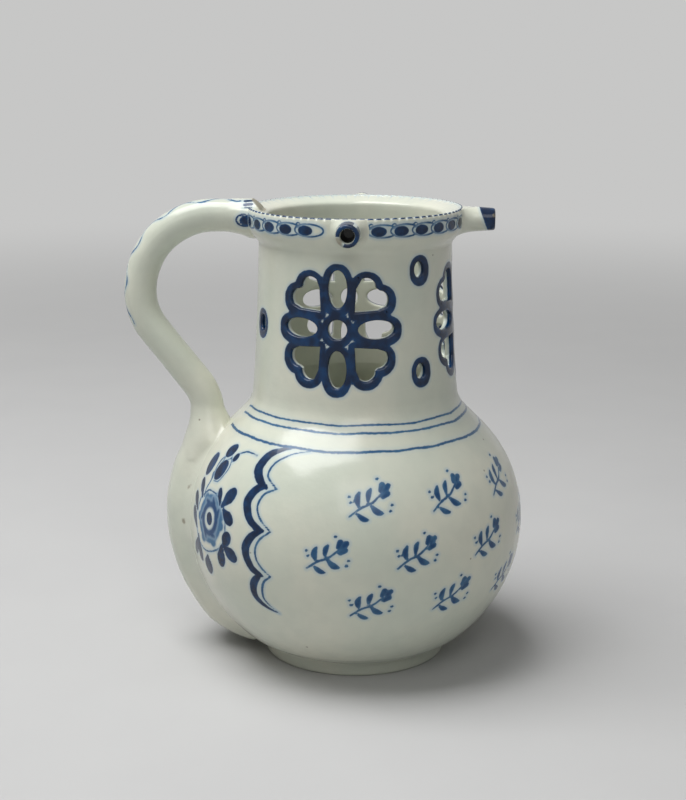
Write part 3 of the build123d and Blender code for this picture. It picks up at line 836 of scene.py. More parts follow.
def slope_of(azimuth, height):
    """Which way the piercing distance grows, per millimetre across and up."""
    across = np.degrees(nudge / neck_radius(height))
    right = piercing_distance(azimuth + across, height)
    right -= piercing_distance(azimuth - across, height)
    up = piercing_distance(azimuth, height + nudge) - piercing_distance(azimuth, height - nudge)
    size = np.hypot(right, up) + TINY
    return right / size, up / size


def pierced_grid(azimuth, height):
    """Faces of the neck's grid outside the holes, and the edges along the holes."""
    faces = grid_faces(neck_rows, neck_columns)
    middle_turn = azimuth[faces[:, 0]] + 180 / neck_columns
    middle_rise = (height[faces[:, 0]] + height[faces[:, 2]]) / 2
    kept = faces[piercing_distance(middle_turn, middle_rise) > edge_round]
    # Edges that only one kept face uses, apart from those at the neck's two ends
    used = set(zip(kept.ravel().tolist(), np.roll(kept, -1, 1).ravel().tolist()))
    last_row = (neck_rows - 1) * neck_columns
    alone = [(a, b) for a, b in used if (b, a) not in used]
    edges = [(a, b) for a, b in alone if max(a, b) >= neck_columns and min(a, b) < last_row]
    return kept, np.array(edges)


def edge_rings():
    """Rings of (shift into the hole, depth) over the edge, through the wall and out inside."""
    angles = np.radians([22.5, 45, 67.5, 90])
    over = [(edge_round * sin(a), edge_round * (1 - cos(a))) for a in angles]
    depths = np.linspace(edge_round, neck_wall - edge_round, 4)[1:-1]
    back = [(shift, neck_wall - depth) for shift, depth in reversed(over)]
    return over + [(edge_round, depth) for depth in depths] + back


def build_neck():
    """Points, faces and the depth in the wall of each point."""
    turns = np.arange(neck_columns) * 360 / neck_columns
    azimuth, height = np.meshgrid(turns, np.linspace(seam_height, neck_top, neck_rows))
    azimuth, height = azimuth.ravel(), height.ravel()
    kept, edges = pierced_grid(azimuth, height)
    # The points beside a hole slide along the slope until they are on its rounded edge
    rim = np.unique(edges)
    rim_azimuth, rim_height = azimuth[rim], height[rim]
    for _ in range(slide_rounds):
        right, up = slope_of(rim_azimuth, rim_height)
        gap = piercing_distance(rim_azimuth, rim_height) - edge_round
        rim_azimuth = rim_azimuth - np.degrees(gap * right / neck_radius(rim_height))
        rim_height = rim_height - gap * up
    azimuth[rim], height[rim] = rim_azimuth, rim_height
    right, up = slope_of(rim_azimuth, rim_height)
    layers = [
        round_axis(neck_radius(height) - depth, np.radians(azimuth), height)
        for depth in (0, neck_wall)
    ]
    rings = edge_rings()
    for shift, depth in rings:
        bearing = np.radians(rim_azimuth) - shift * right / neck_radius(rim_height)
        level = rim_height - shift * up
        layers.append(round_axis(neck_radius(level) - depth, bearing, level))
    # The walls of the holes join each ring to the next
    count, rim_count = len(azimuth), len(rim)
    order = {vertex: k for k, vertex in enumerate(rim.tolist())}
    first, second = (np.array([order[v] for v in edges[:, k].tolist()]) for k in (0, 1))
    chain = [2 * count + k * rim_count + np.arange(rim_count) for k in range(len(rings))]
    chain = [rim, *chain, rim + count]
    walls = [
        np.stack([near[second], near[first], far[first], far[second]], 1)
        for near, far in zip(chain, chain[1:])
    ]
    here = np.arange(neck_columns)
    after = np.roll(here, -1)
    bottom = np.stack([after, here, here + count, after + count], 1)
    top = np.stack([here, after, after + count, here + count], 1) + count - neck_columns
    faces = np.vstack([kept, kept[:, ::-1] + count, *walls, bottom, top])
    used, faces = np.unique(faces, return_inverse=True)
    ring_depths = [np.full(rim_count, depth) for _, depth in rings]
    depths = np.concatenate([np.zeros(count), np.full(count, neck_wall), *ring_depths])
    return np.vstack(layers)[used], faces.reshape(-1, 4), depths[used]


neck_points, neck_faces, neck_depth = build_neck()
pierced_neck = make_piece("pierced_neck", neck_points, neck_faces, merge=False)

# %% [markdown]
# ## Blue outlines round the holes
# The painter ran a loaded brush round every hole, about as wide as the bars of clay
# between the holes, so the outlines of a rosette nearly touch. The distance from the
# holes is already known, so it is stored as it is. The blue goes over the rounded edge
# and about halfway into the wall.

# %% Paint and hand over the neck
outline_width, run_down, paint_depth = 2.6, 0.7, 1.7  # mm


def paint_neck():
    x, y, height = neck_points.T
    azimuth = np.degrees(np.arctan2(y, x))
    # The blue ran down a little before it set, and into the lower side of each hole
    gap = piercing_distance(azimuth, height)
    gap = np.minimum(gap, piercing_distance(azimuth, height + run_down))
    outline = np.maximum(gap - outline_width, neck_depth - paint_depth)
    store_paint(pierced_neck, "outline", outline)


paint_neck()
neck_glaze = make_glaze("painted_glaze_neck", [("outline", NAVY, COBALT)])
hand_over(pierced_neck, neck_glaze, "neck")

# %% [markdown]
# ## The hollow rim
# The rim is a thrown ring with a channel inside, closed by a flat ring of clay. Outside
# it is a smooth roll with a thin ridge on top, and the ridge was nicked all round with a
# tool, about every three millimetres. The ring is spun from its section, and the nicks
# repeat round the rim, so Geometry Nodes press them in.

# %% The rim's section
rim_columns, rim_step = 672, 0.42  # step in mm
rim_section = np.vstack(
    [
        smooth_line(
            [
                (38.72, 170.5), (38.85, 171.2), (39.4, 172.2), (40.4, 173.4), (41.4, 174.6),
                (42.35, 176.2), (42.95, 178.0), (43.08, 180.0), (43.08, 182.4), (42.95, 183.4),
                (42.8, 184.2), (42.62, 184.75), (42.25, 184.98), (41.75, 184.85), (41.3, 184.5),
                (40.4, 184.15), (38.5, 183.6), (36.9, 183.0), (36.0, 182.5), (35.4, 181.8),
                (35.2, 180.8),
            ],
            rim_step,
        ),
        [(35.2, z) for z in (178.5, 175.5, 173.0, 170.5)],
    ]
)
rim_turns = np.arange(rim_columns) * 360 / rim_columns
hollow_rim = make_piece("hollow_rim", *spin(rim_section, rim_turns, closed=True))

# %% Geometry Nodes for the nicked ridge
nick_count, nick_depth = 84, 0.26  # depth in mm
nick_slant = 0.9  # how far a nick leans upwards for each step outwards
ridge_height, ridge_reach = 185.0, 1.1  # mm, the ridge's top and how far the nicks go down
GEOMETRY, GLAZE = "NodeSocketGeometry", "NodeSocketMaterial"


def finish_tree(tree, geometry, material, result):
    """Real geometry with the glaze on it as a tree's result."""
    whole = add_node(tree, "GeometryNodeRealizeInstances", {0: geometry})
    inputs = {"Geometry": whole.outputs[0], "Material": material}
    glazed = add_node(tree, "GeometryNodeSetMaterial", inputs)
    tree.links.new(glazed.outputs[0], result)
    return tree


def build_nicks():
    """A tree that presses a row of nicks into a ridge round the axis."""
    inputs = [
        ("Ring", GEOMETRY), ("Nicks", NUMBER, nick_count), ("Depth", NUMBER, nick_depth * MM),
        ("Ridge Height", NUMBER, ridge_height * MM), ("Ridge Reach", NUMBER, ridge_reach * MM),
        ("Glaze", GLAZE),
    ]
    results = [("Ring", GEOMETRY)]
    tree, given, result = new_group("ridge nicks", "GeometryNodeTree", inputs, results)
    place = tree.nodes.new("GeometryNodeInputPosition").outputs[0]
    x, y, z = add_node(tree, "ShaderNodeSeparateXYZ", {0: place}).outputs
    bearing = maths(tree, "ARCTAN2", y, x)
    wave = maths(tree, "COSINE", maths(tree, "MULTIPLY", bearing, given["Nicks"]))
    press = ease(tree, wave, 0.0, 0.85)
    below = maths(tree, "SUBTRACT", given["Ridge Height"], z)
    near = ease(tree, maths(tree, "DIVIDE", below, given["Ridge Reach"]), 1.0, 0.35)
    amount = maths(tree, "MULTIPLY", maths(tree, "MULTIPLY", press, near), given["Depth"])
    flat = add_node(tree, "ShaderNodeCombineXYZ", {"X": x, "Y": y}).outputs[0]
    outward = add_node(tree, "ShaderNodeVectorMath", {0: flat}, operation="NORMALIZE").outputs[0]
    slant = add_node(
        tree, "ShaderNodeVectorMath", {0: outward, 1: (0, 0, nick_slant)}, operation="ADD"
    )
    amount = maths(tree, "MULTIPLY", amount, -1.0)
    sink = add_node(
        tree, "ShaderNodeVectorMath", {0: slant.outputs[0], "Scale": amount}, operation="SCALE"
    )
    inputs = {"Geometry": given["Ring"], "Offset": sink.outputs[0]}
    moved = add_node(tree, "GeometryNodeSetPosition", inputs)
    return finish_tree(tree, moved.outputs[0], given["Glaze"], result["Ring"])


def apply_tree(piece, tree, values):
    """Run a tree on a piece with values by socket name, and keep the result as its mesh."""
    modifier = piece.modifiers.new(tree.name, "NODES")
    modifier.node_group = tree
    for item in tree.interface.items_tree:
        if item.in_out == "INPUT" and item.name in values:
            modifier[item.identifier] = values[item.name]
    return settle(piece)


def settle(piece):
    """Turn a piece with its modifiers into a plain mesh object of the same name."""
    graph = bpy.context.evaluated_depsgraph_get()
    mesh = bpy.data.meshes.new_from_object(piece.evaluated_get(graph))
    mesh.name = name = piece.name
    bpy.data.objects.remove(piece)
    return put_in_scene(name, mesh)


rim_glaze = make_glaze(
    "painted_glaze_rim",
    [("haze", SLATE, HAZE), ("thin", COBALT, SLATE), ("dark", NAVY, COBALT)],
    bare=True,
)
nick_values = {
    "Nicks": float(nick_count), "Depth": nick_depth * MM, "Ridge Height": ridge_height * MM,
    "Ridge Reach": ridge_reach * MM, "Glaze": rim_glaze,
}
hollow_rim = apply_tree(hollow_rim, build_nicks(), nick_values)
print("rim:", len(hollow_rim.data.vertices), "points after the nicks")

# %% [markdown]
# ## The chain on the rim
# Between the spouts and the handle the roll is painted with a chain: overlapping loops,
# each with a dark heart in it and a small ring where two loops meet, and a blue dash on
# the ridge between every two nicks. All of it repeats, so it is drawn with formulas along
# the roll instead of one stroke at a time.

# %% Paint and hand over the rim
rim_radius = 43.1
chain_height = 180.2
chain_spans = ((7.0, 79.0, 6), (105.0, 165.0, 5))  # start and end from the middle spout; loops
loop_half_height, loop_line = 2.35, 0.38  # mm, as are all measures below
heart_half_height, heart_drop = 1.95, 0.15
knot_height, knot_radius, knot_line = 1.9, 0.85, 0.28
loop_share, heart_share, heart_shift = 0.66, 0.34, 0.17  # of the width from loop to loop
roll_inner, roll_low, roll_top = 40.2, 173.0, 184.2  # the painted outside of the roll
dash_half_length, dash_radius, dash_half_width, dash_floor = 1.05, 42.5, 0.42, 184.3
flat_low, flat_radius = 182.6, 41.6  # the flat ring inside the ridge
patch_reach, patch_stretch, patch_radius = 40.5, 1.2, 7.0  # the worn patch by the handle
run_start, run_unevenness, run_slope = 0.9, 0.45, 0.3  # the blue that ran down inside


def chain_distances(azimuth, up):
    """Distances from the chain's thin loops and knots, and from its dark hearts."""
    thin, dark = np.full(len(up), FAR), np.full(len(up), FAR)
    for start, end, loops in chain_spans:
        pitch = (end - start) / loops
        width = radians(pitch) * rim_radius
        for k in range(loops):
            middle = start + (k + 0.5) * pitch
            across = np.radians(np.abs(azimuth) - middle) * rim_radius
            across = np.where(azimuth < 0, -across, across)
            loop = ellipse_distance(across, up, loop_share * width, loop_half_height)
            heart_place = across + heart_shift * width, up + heart_drop
            heart = ellipse_distance(*heart_place, heart_share * width, heart_half_height)
            knot = np.hypot(across + 0.5 * width, up - knot_height) - knot_radius
            dark = np.minimum(dark, heart)
            lines = np.minimum(np.abs(loop) - loop_line, np.abs(knot) - knot_line)
            thin = np.minimum(thin, lines)
    return thin, dark


def paint_rim():
    x, y, height = places_of(hollow_rim).T
    azimuth, radius = np.degrees(np.arctan2(y, x)), np.hypot(x, y)
    outer = (radius > roll_inner) & (height > roll_low) & (height < roll_top)
    thin, dark = chain_distances(azimuth, height - chain_height)
    # A dash on the ridge between every two nicks
    share = azimuth * nick_count / 360 - 0.5
    offset = np.abs(share - np.round(share)) * 360 / nick_count
    dash = np.radians(offset) * rim_radius - dash_half_length
    dash = np.maximum(dash, np.abs(radius - dash_radius) - dash_half_width)
    dash = np.where(height > dash_floor, dash, FAR)
    store_paint(hollow_rim, "thin", np.where(outer, thin, FAR))
    store_paint(hollow_rim, "dark", np.minimum(np.where(outer, dark, FAR), dash))
    # Blue that ran down on the flat ring inside the ridge, and its worn patch by the handle
    flat = (height > flat_low) & (radius < flat_radius)
    blots = np.sin(azimuth * 0.9) + np.sin(azimuth * 2.3 + 1) + np.sin(azimuth * 5.1 + 2)
    run = run_start - run_unevenness * blots + run_slope * (flat_radius - radius)
    store_paint(hollow_rim, "haze", np.where(flat, run, FAR))
    by_handle = np.hypot((x + patch_reach) * patch_stretch, y) - patch_radius
    store_paint(hollow_rim, "bare", np.where(flat, by_handle, FAR))


paint_rim()
hand_over(hollow_rim, rim_glaze, "rim_trough", "rim_cap")

# %% [markdown]
# ## The three spouts
# Each spout is a short rolled tube with a rounded lip, luted to the rim with a ring of
# clay smoothed out to nothing. Its section is spun about its own axis, with the bore, and
# the ring's edge is drawn down to the roll of the rim so that no gap shows.

# %% Build the spouts
spout_height, spout_step = 180.1, 0.35  # mm
spout_section = np.vstack(
    [
        smooth_line(
            [
                (42.2, 8.9), (42.9, 8.1), (43.25, 7.1), (43.9, 6.15), (45.0, 5.45),
                (46.6, 5.02), (48.6, 4.85), (52.0, 4.6), (54.6, 4.42), (55.25, 4.2),
                (55.55, 3.75), (55.6, 3.35), (55.4, 2.95), (54.7, 2.72), (53.0, 2.6),
            ],
            spout_step,
        ),
        [(50.5, 2.4), (47.5, 2.2), (44.5, 2.0), (44.4, 1.2), (44.4, 0.0)],
    ]
)
spout_azimuths = {"side": 0.0, "front": -90.0, "back": 90.0}
spout_turns = np.radians(np.arange(0, 360, 4.5))
ridge_room = 184.72  # mm, the height under the ridge that the ring of clay keeps below
root_end, root_fade, root_middle = 46.5, 3.0, 40.0  # mm from the jug's axis
under_ridge = 47.5  # mm from the jug's axis, up to where the ridge is over the spout
widest_root = 90  # mm², the square of the widest place that follows the roll
BORE_SHADE = (0.010, 0.010, 0.006, 1)  # painted shade, near black, deep inside each spout's bore
spout_glaze = make_glaze(
    "painted_glaze_spout", [("dark", NAVY, COBALT), ("bore_shade", BORE_SHADE, BORE_SHADE)], bare=True
)


def rim_outside(level):
    """The outside radius of the rim's roll at a height."""
    rising = rim_section[: np.argmax(rim_section[:, 1])]
    return np.interp(level, rising[:, 1], rising[:, 0])


def build_spout(name, azimuth):
    """Spin a spout about the upright axis and lay it down along its own bearing."""
    reach, radius = spout_section.T
    side, rise = -np.outer(radius, np.sin(spout_turns)), np.outer(radius, np.cos(spout_turns))
    out = np.repeat(reach[:, None], len(spout_turns), 1)
    # The roll of the rim falls away at both sides, and its ridge is over the root
    near_rim = np.clip((root_end - out) / root_fade, 0, 1)
    level = spout_height + rise
    level = np.where(out < under_ridge, np.minimum(level, ridge_room), level)
    roll = np.sqrt(rim_outside(level) ** 2 - np.minimum(side**2, widest_root))
    out = out - near_rim * (rim_radius - roll)
    c, s = cos(radians(azimuth)), sin(radians(azimuth))
    points = np.stack([out * c - side * s, out * s + side * c, level], -1).reshape(-1, 3)
    root, count = len(points), len(spout_turns)
    points = np.vstack([points, [(root_middle * c, root_middle * s, spout_height)]])
    faces = grid_faces(len(reach), count)[:, [0, 3, 2, 1]].tolist()
    cap = [(k, (k + 1) % count, root) for k in range(count)]
    piece = make_piece(f"spout_{name}_tube", points, faces + cap)
    form = bmesh.new()
    form.from_mesh(piece.data)
    bmesh.ops.recalc_face_normals(form, faces=form.faces)
    form.to_mesh(piece.data)
    form.free()
    return piece


# %% Paint and hand over the spouts
bore_radius, bore_end, bore_shade_start = 2.9, 55.1, 53.6  # mm
band_start, band_dip = 51.0, 1.75  # mm, where the blue begins, and how much lower on top
# Painted highlight: a white stripe is left in the blue along the upper side of each spout
highlight_stripe_bearing, highlight_stripe_half_width, highlight_stripe_taper = 38, 0.75, 4.5  # degrees, mm, mm per radian
highlight_stripe_end = 55.0
chip_side, chip_rise, chip_radius, chip_start = 3.2, 2.4, 1.9, 54.4  # mm, on the front spout
chip_margin = 2.2  # mm round the chip's middle where the blue is gone
wear_side, wear_rise, wear_radius, wear_start = 3.4, 1.6, 0.7, 54.6  # mm, on the other two


def paint_spout(piece, azimuth, chipped):
    """Blue from halfway to the lip, lower down on the top side, with a painted highlight stripe,
    and painted shade in the bore.
    """
    x, y, height = places_of(piece).T
    c, s = cos(radians(azimuth)), sin(radians(azimuth))
    out, side, rise = x * c + y * s, y * c - x * s, height - spout_height
    bearing = np.arctan2(side, rise)
    in_bore = np.hypot(side, rise) < bore_radius
    band = band_start - band_dip * np.cos(bearing) - out
    # Painted highlight: the blue is left out along a narrow stripe, so white glaze shows as a
    # highlight line
    highlight_stripe = highlight_stripe_half_width - np.abs(bearing - radians(highlight_stripe_bearing)) * highlight_stripe_taper
    dark = np.maximum(band, np.where(out < highlight_stripe_end, highlight_stripe, -FAR))
    if chipped:
        from_chip = np.hypot(side * 0.9 + chip_side, rise + chip_rise)
        dark = np.maximum(dark, chip_margin - from_chip)
        bare = np.maximum(from_chip - chip_radius, chip_start - out)
    else:
        bare = np.hypot(side + wear_side, rise - wear_rise) - wear_radius
        bare += np.maximum(wear_start - out, 0)
    store_paint(piece, "dark", np.where(in_bore & (out < bore_end), FAR, dark))
    # Painted shade: from bore_shade_start inwards the bore's glaze is painted near black
    store_paint(piece, "bore_shade", np.where(in_bore, out - bore_shade_start, FAR))
    store_paint(piece, "bare", bare)


for spout_name, spout_azimuth in spout_azimuths.items():
    spout = build_spout(spout_name, spout_azimuth)
    paint_spout(spout, spout_azimuth, spout_name == "front")
    hand_over(spout, spout_glaze, f"spout_{spout_name}", f"spout_{spout_name}_lute")

# %% [markdown]
# ## The handle and the duct
# The handle is a hollow tube that leaves the rim level, bends over and down, and leans in
# to the shoulder. There it runs into a half-round strap of clay that covers a passage
# down the belly's back. All joints are smoothed over with slip, so handle, strap and
# lutes look like one soft form. Geometry Nodes sweep the tube along its centre line, the
# strap and the swellings are simple skins, and a voxel remesh melts them together as wet
# clay would. A light smoothing then draws the joints out.

# %% The handle's centre line
tube_radius, handle_height, handle_reach = 6.75, 180.9, 87.4
head_start = 36.6
corners = [
    (head_start, handle_height), (handle_reach, handle_height), (handle_reach, 140.9),
    (61.4, 107.6), (58.9, 84.0),
]
corner_curves = [31.2, 23.2, 20.0]
handle_step = 0.5  # mm


def round_corners(points, curves, step=1.0):
    """A line of reach and height through corners that are rounded by arcs."""
    points = [np.array(point, float) for point in points]
    line = [points[0]]
    for before, corner, after, curve in zip(points, points[1:], points[2:], curves):
        back = (before - corner) / np.linalg.norm(before - corner)
        ahead = (after - corner) / np.linalg.norm(after - corner)
        half = np.arccos(np.clip(back @ ahead, -1, 1)) / 2
        middle = corner + (back + ahead) / np.linalg.norm(back + ahead) * curve / sin(half)
        x, y = corner + back * curve / tan(half) - middle
        turn = (pi - 2 * half) * -np.sign(back[0] * ahead[1] - back[1] * ahead[0])
        for share in np.linspace(0, 1, max(3, int(abs(turn) * curve / step) + 1)):
            c, s = cos(turn * share), sin(turn * share)
            line.append(middle + (x * c - y * s, x * s + y * c))
    return np.array(line + [points[-1]])


def point_at(line, runs, run):
    """The places of a line at some runs along it."""
    return [np.interp(run, runs, line[:, k]) for k in (0, 1)]


def even_steps(line):
    """The same line with points at even steps."""
    runs = run_along(line)
    places = np.linspace(0, runs[-1], int(runs[-1] / handle_step))
    return np.stack(point_at(line, runs, places), 1)


handle_line = even_steps(round_corners(corners, corner_curves))
handle_runs = run_along(handle_line)
print("handle line:", len(handle_line), "points,", round(float(handle_runs[-1])), "mm")

# %% Geometry Nodes for the tube
tube_sides = 72


def build_sweep():
    """A tree that sweeps a round section along a curve."""
    inputs = [
        ("Centre Line", GEOMETRY), ("Tube Radius", NUMBER, tube_radius * MM),
        ("Sides", "NodeSocketInt", tube_sides), ("Glaze", GLAZE),
    ]
    results = [("Tube", GEOMETRY)]
    tree, given, result = new_group("handle sweep", "GeometryNodeTree", inputs, results)
    circle = {"Resolution": given["Sides"], "Radius": given["Tube Radius"]}
    section = add_node(tree, "GeometryNodeCurvePrimitiveCircle", circle).outputs[0]
    path = {"Curve": given["Centre Line"], "Profile Curve": section, "Fill Caps": True}
    swept = add_node(tree, "GeometryNodeCurveToMesh", path)
    return finish_tree(tree, swept.outputs[0], given["Glaze"], result["Tube"])


def sweep_handle(material):
    data = bpy.data.curves.new("handle_line", "CURVE")
    data.dimensions = "3D"
    spline = data.splines.new("POLY")
    spline.points.add(len(handle_line) - 1)
    for point, (reach, height) in zip(spline.points, handle_line):
        point.co = (-reach * MM, 0, height * MM, 1)
    piece = put_in_scene("handle_and_duct", data)
    values = {"Tube Radius": tube_radius * MM, "Sides": tube_sides, "Glaze": material}
    return apply_tree(piece, build_sweep(), values)


handle_glaze = make_glaze(
    "painted_glaze_handle", [("thin", LINE_BLUE, SLATE), ("dark", NAVY, COBALT)], bare=True
)
handle_and_duct = sweep_handle(handle_glaze)

# %% Skins of the strap and the swellings
# Half of the strap's section at the girth: across, and out from the belly's outermost line
strap_half = [
    (0, 10.0), (4, 9.64), (8, 8.46), (10.6, 7.0), (12.4, 5.1), (13.9, 3.0), (15.6, 0.8),
    (17.8, -1.4), (20.3, -3.5), (20.6, -5.2), (10, -3.0),
]
strap_outline = strap_half + [(-across, out) for across, out in strap_half[:0:-1]]
strap_bottom, strap_top = -57.5, 45.5  # degrees from the girth
toe_run, toe_slack = 19.0, 2.0  # degrees over which the toe sinks away
waist_start, waist_run = 37, 12  # degrees from the girth where it narrows to the handle
early_narrowing, late_narrowing, late_flattening = 0.30, 0.24, 0.35
edge_sink = 0.4  # mm that the edges of a narrower strap lie deeper
strap_floor = 1.9  # mm, the lowest place of the strap
ring_sides = 48
ring_turns = np.linspace(0, 2 * pi, ring_sides, endpoint=False)


def skin(sections):
    """Points and faces of a closed skin over rings of points of equal number."""
    sections = np.array(sections)
    rings, count = sections.shape[:2]
    ends = [list(range(count))[::-1], list(range((rings - 1) * count, rings * count))]
    return sections.reshape(-1, 3), grid_faces(rings, count).tolist() + ends


def strap_sections():
    across_line, out_line = np.array(strap_outline).T
    rings = []
    for angle in np.arange(strap_bottom, strap_top + 0.5, 1.0):
        centre, curve = (upper_centre, upper_curve) if angle > 0 else (lower_centre, lower_curve)
        early = np.clip(angle / waist_start, 0, 1) ** 1.5
        late = np.clip((angle - waist_start) / waist_run, 0, 1)
        narrow = 1 - early_narrowing * early - late_narrowing * late
        toe = np.clip((angle - strap_bottom + toe_slack) / toe_run, 0.05, 1)
        proud = (1 - late_flattening * late) * sqrt(toe)
        out = np.where(out_line > 0, out_line * proud, out_line)
        # A narrower strap also meets a rounder belly sooner
        out = np.where(out < 0, out * narrow**2 - edge_sink * (1 - narrow), out)
        reach = centre[0] + (curve + out) * cos(radians(angle))
        height = centre[1] + (curve + out) * sin(radians(angle))
        ring_points = [-reach, across_line * narrow, np.maximum(height, strap_floor)]
        rings.append(np.stack(ring_points, 1))
    return rings


heel_stations = [
    (82.0, 60.8, 12.6, 13.4), (89.5, 59.4, 11.4, 12.6), (94.0, 59.6, 9.6, 10.8),
    (98.0, 60.3, 8.0, 8.8), (102.0, 61.0, 7.0, 7.2), (105.0, 61.3, 6.5, 6.6),
]
head_stations = [
    (38.5, 9.4), (42.0, 9.2), (44.2, 8.3), (47.0, 7.4), (50.0, 6.9), (52.5, 6.6),
]
back_slack, head_floor = 0.05, 184.4  # mm


def heel_sections():
    """Upright rings from stations of height, reach, half depth and half width."""
    rings = []
    for height, reach, depth, width in smooth_line(heel_stations, 1.0):
        x, y = -(reach + depth * np.cos(ring_turns)), width * np.sin(ring_turns)
        rings.append(np.stack([x, y, np.full(ring_sides, height)], 1))
    return rings


def head_sections():
    """Rings about the handle's axis that flare out on to the rim."""
    rings = []
    for reach, radius in smooth_line(head_stations, 0.8):
        across = radius * np.cos(ring_turns)
        level = handle_height + radius * np.sin(ring_turns)
        # Above the rim the flare keeps to the tube's own round back
        back = handle_height + np.sqrt(np.maximum(tube_radius**2 - across**2, 0)) - back_slack
        level = np.minimum(level, np.maximum(back, head_floor))
        rings.append(np.stack([np.full(ring_sides, -reach), across, level], 1))
    return rings


def join_skins():
    """Join the tube, the strap and the swellings into one mesh object."""
    form = bmesh.new()
    form.from_mesh(handle_and_duct.data)
    for sections in (strap_sections(), heel_sections(), head_sections()):
        points, faces = skin(sections)
        made = [form.verts.new(Vector(point) * MM) for point in points]
        for face in faces:
            form.faces.new([made[k] for k in face])
    bmesh.ops.triangulate(form, faces=[face for face in form.faces if len(face.verts) > 4])
    bmesh.ops.recalc_face_normals(form, faces=form.faces)
    form.to_mesh(handle_and_duct.data)
    form.free()


join_skins()

# %% Melt them together and drill the suction hole
voxel, smooth_share, smooth_rounds = 0.72 * MM, 0.5, 7
suction_reach, suction_radius = 58.0, 1.7
drill_length, drill_middle = 8.0, 7.0  # mm, its middle under the handle's axis


def suction_drill():
    """A round cutter up into the handle from below."""
    form = bmesh.new()
    place = Vector((-suction_reach, 0, handle_height - drill_middle)) * MM
    bmesh.ops.create_cone(
        form, cap_ends=True, segments=40, radius1=suction_radius * MM,
        radius2=suction_radius * MM, depth=drill_length * MM, matrix=Matrix.Translation(place),
    )
    mesh = bpy.data.meshes.new("suction_drill")
    form.to_mesh(mesh)
    form.free()
    return put_in_scene("suction_drill", mesh)


def melt(piece):
    """Melt the skins into one, draw the joints out and drill the hole."""
    remesh = piece.modifiers.new("melt", "REMESH")
    remesh.mode, remesh.voxel_size, remesh.use_smooth_shade = "VOXEL", voxel, True
    smooth = piece.modifiers.new("draw_out", "SMOOTH")
    smooth.factor, smooth.iterations = smooth_share, smooth_rounds
    drill = suction_drill()
    bore = piece.modifiers.new("suction_hole", "BOOLEAN")
    bore.operation, bore.object, bore.solver = "DIFFERENCE", drill, "EXACT"
    melted = settle(piece)
    bpy.data.objects.remove(drill)
    return melted


handle_and_duct = melt(handle_and_duct)
print("handle and duct:", len(handle_and_duct.data.polygons), "faces after melting")

# %% [markdown]
# ## The handle's head, and its painting
# On top of the rim the handle's end was pressed down and slopes on to the flat ring. The
# points behind that slope are moved out on to it. The slope is bare and brownish where
# glaze has worn, its brown darkened in part as painted shade. Along the top of the handle
# runs a wavering blue line, three short dashes cross its head in line with the dashes of
# the ridge, and the rim's chain ends with one loop on each of its flanks.

# %% Slope and hollows of the handle
slope_low, slope_high = (36.2, 182.9), (40.3, 186.9)
slope_round, hollow_depth = 0.8, 0.22  # mm
head_reach, head_low = 50, 170  # mm, the handle's head is nearer and higher than these
bare_reach, bare_low, bare_margin = 46, 182.2, 0.1  # mm, the worn part of the slope
hollow_low = 12  # mm, the lowest place of the hollows


def shape_head():
    """Press the head's slope and the hollows; returns the distance from the bare slope."""
    places = places_of(handle_and_duct)
    x, y, height = places.T
    run = (slope_high[0] - slope_low[0]) / (slope_high[1] - slope_low[1])
    short = slope_low[0] + np.maximum(height - slope_low[1], 0) * run + x
    # The edge of the slope is rounded: points near it move a little, those behind it fully
    push = slope_round * np.log1p(np.exp(np.clip(short / slope_round, -30, 30)))
    x -= np.where((x > -head_reach) & (height > head_low), push, 0)
    # A hand never pulls an even tube: shallow hollows, inwards only
    normals = np.empty(places.size)
    handle_and_duct.data.vertices.foreach_get("normal", normals)
    along = height * 0.145 + x * 0.06
    dent = hollow_depth * (0.5 + 0.5 * np.sin(along) * np.sin(1.7 * along + 0.21 * y + 1.0))
    dent[(x > -head_reach) | (height < hollow_low)] = 0
    places -= normals.reshape(-1, 3) * dent[:, None]
    handle_and_duct.data.vertices.foreach_set("co", (places * MM).ravel())
    return np.where((height > bare_low) & (x > -bare_reach), bare_margin - short, FAR)


# %% Paint and hand over the handle
surface_slack = 0.3  # mm by which the melted surface lies under the tube's own
wave_start, wave_end = 9, 80  # mm along the handle's centre line
wave_bearings = ((11, -0.24), (45, -0.34), (92, -0.62))  # run and turn about the tube
wave_swing, wave_turns = 0.26, 0.46  # radians to each side, and per mm of the run
wave_thickness, wave_unevenness = 0.18, 0.2  # mm
dash_bearings, dash_slant = (-0.42, -0.74, -1.06), 0.05  # radians from the top
dash_start, dash_end = (40.9, 0.5), (43.7, 0.55)  # reach and half width
flank_reach, flank_height = 43.7, 179.8  # mm, the middle of the flank's loop
flank_end, flank_side = 53, 4.0  # mm, the loop ends here and is only on the sides
flank_loop, flank_heart, flank_heart_shift = 3.2, (2.3, 1.85), 0.4  # mm
chip_places = [
    ((-69.4, -15.3, 57.0), 1.2), ((-67.4, -15.4, 72.0), 1.0), ((-78.9, -6.0, 178.2), 0.7),
]


def on_handle(reach, height, around):
    """A place on the tube about a point of its centre line; 0 is outwards or up."""
    index = np.argmin(np.hypot(handle_line[:, 0] - reach, handle_line[:, 1] - height))
    ahead = handle_line[min(index + 1, len(handle_line) - 1)] - handle_line[max(index - 1, 0)]
    outward = np.array([-ahead[1], ahead[0]]) / np.linalg.norm(ahead)
    centre = handle_line[index] + outward * tube_radius * cos(around)
    return -centre[0], tube_radius * sin(around), centre[1]


def wavering_line():
    """The line along the handle's top, as a stroke."""
    wave = []
    for run in np.arange(wave_start, wave_end, handle_step):
        swell = wave_thickness + wave_unevenness * sin(run * 0.9) * sin(run * 0.31)
        around = np.interp(run, *zip(*wave_bearings)) + wave_swing * sin(run * wave_turns)
        place = point_at(handle_line, handle_runs, run)
        wave.append((*on_handle(*place, around), swell + surface_slack))
    return np.array(wave)


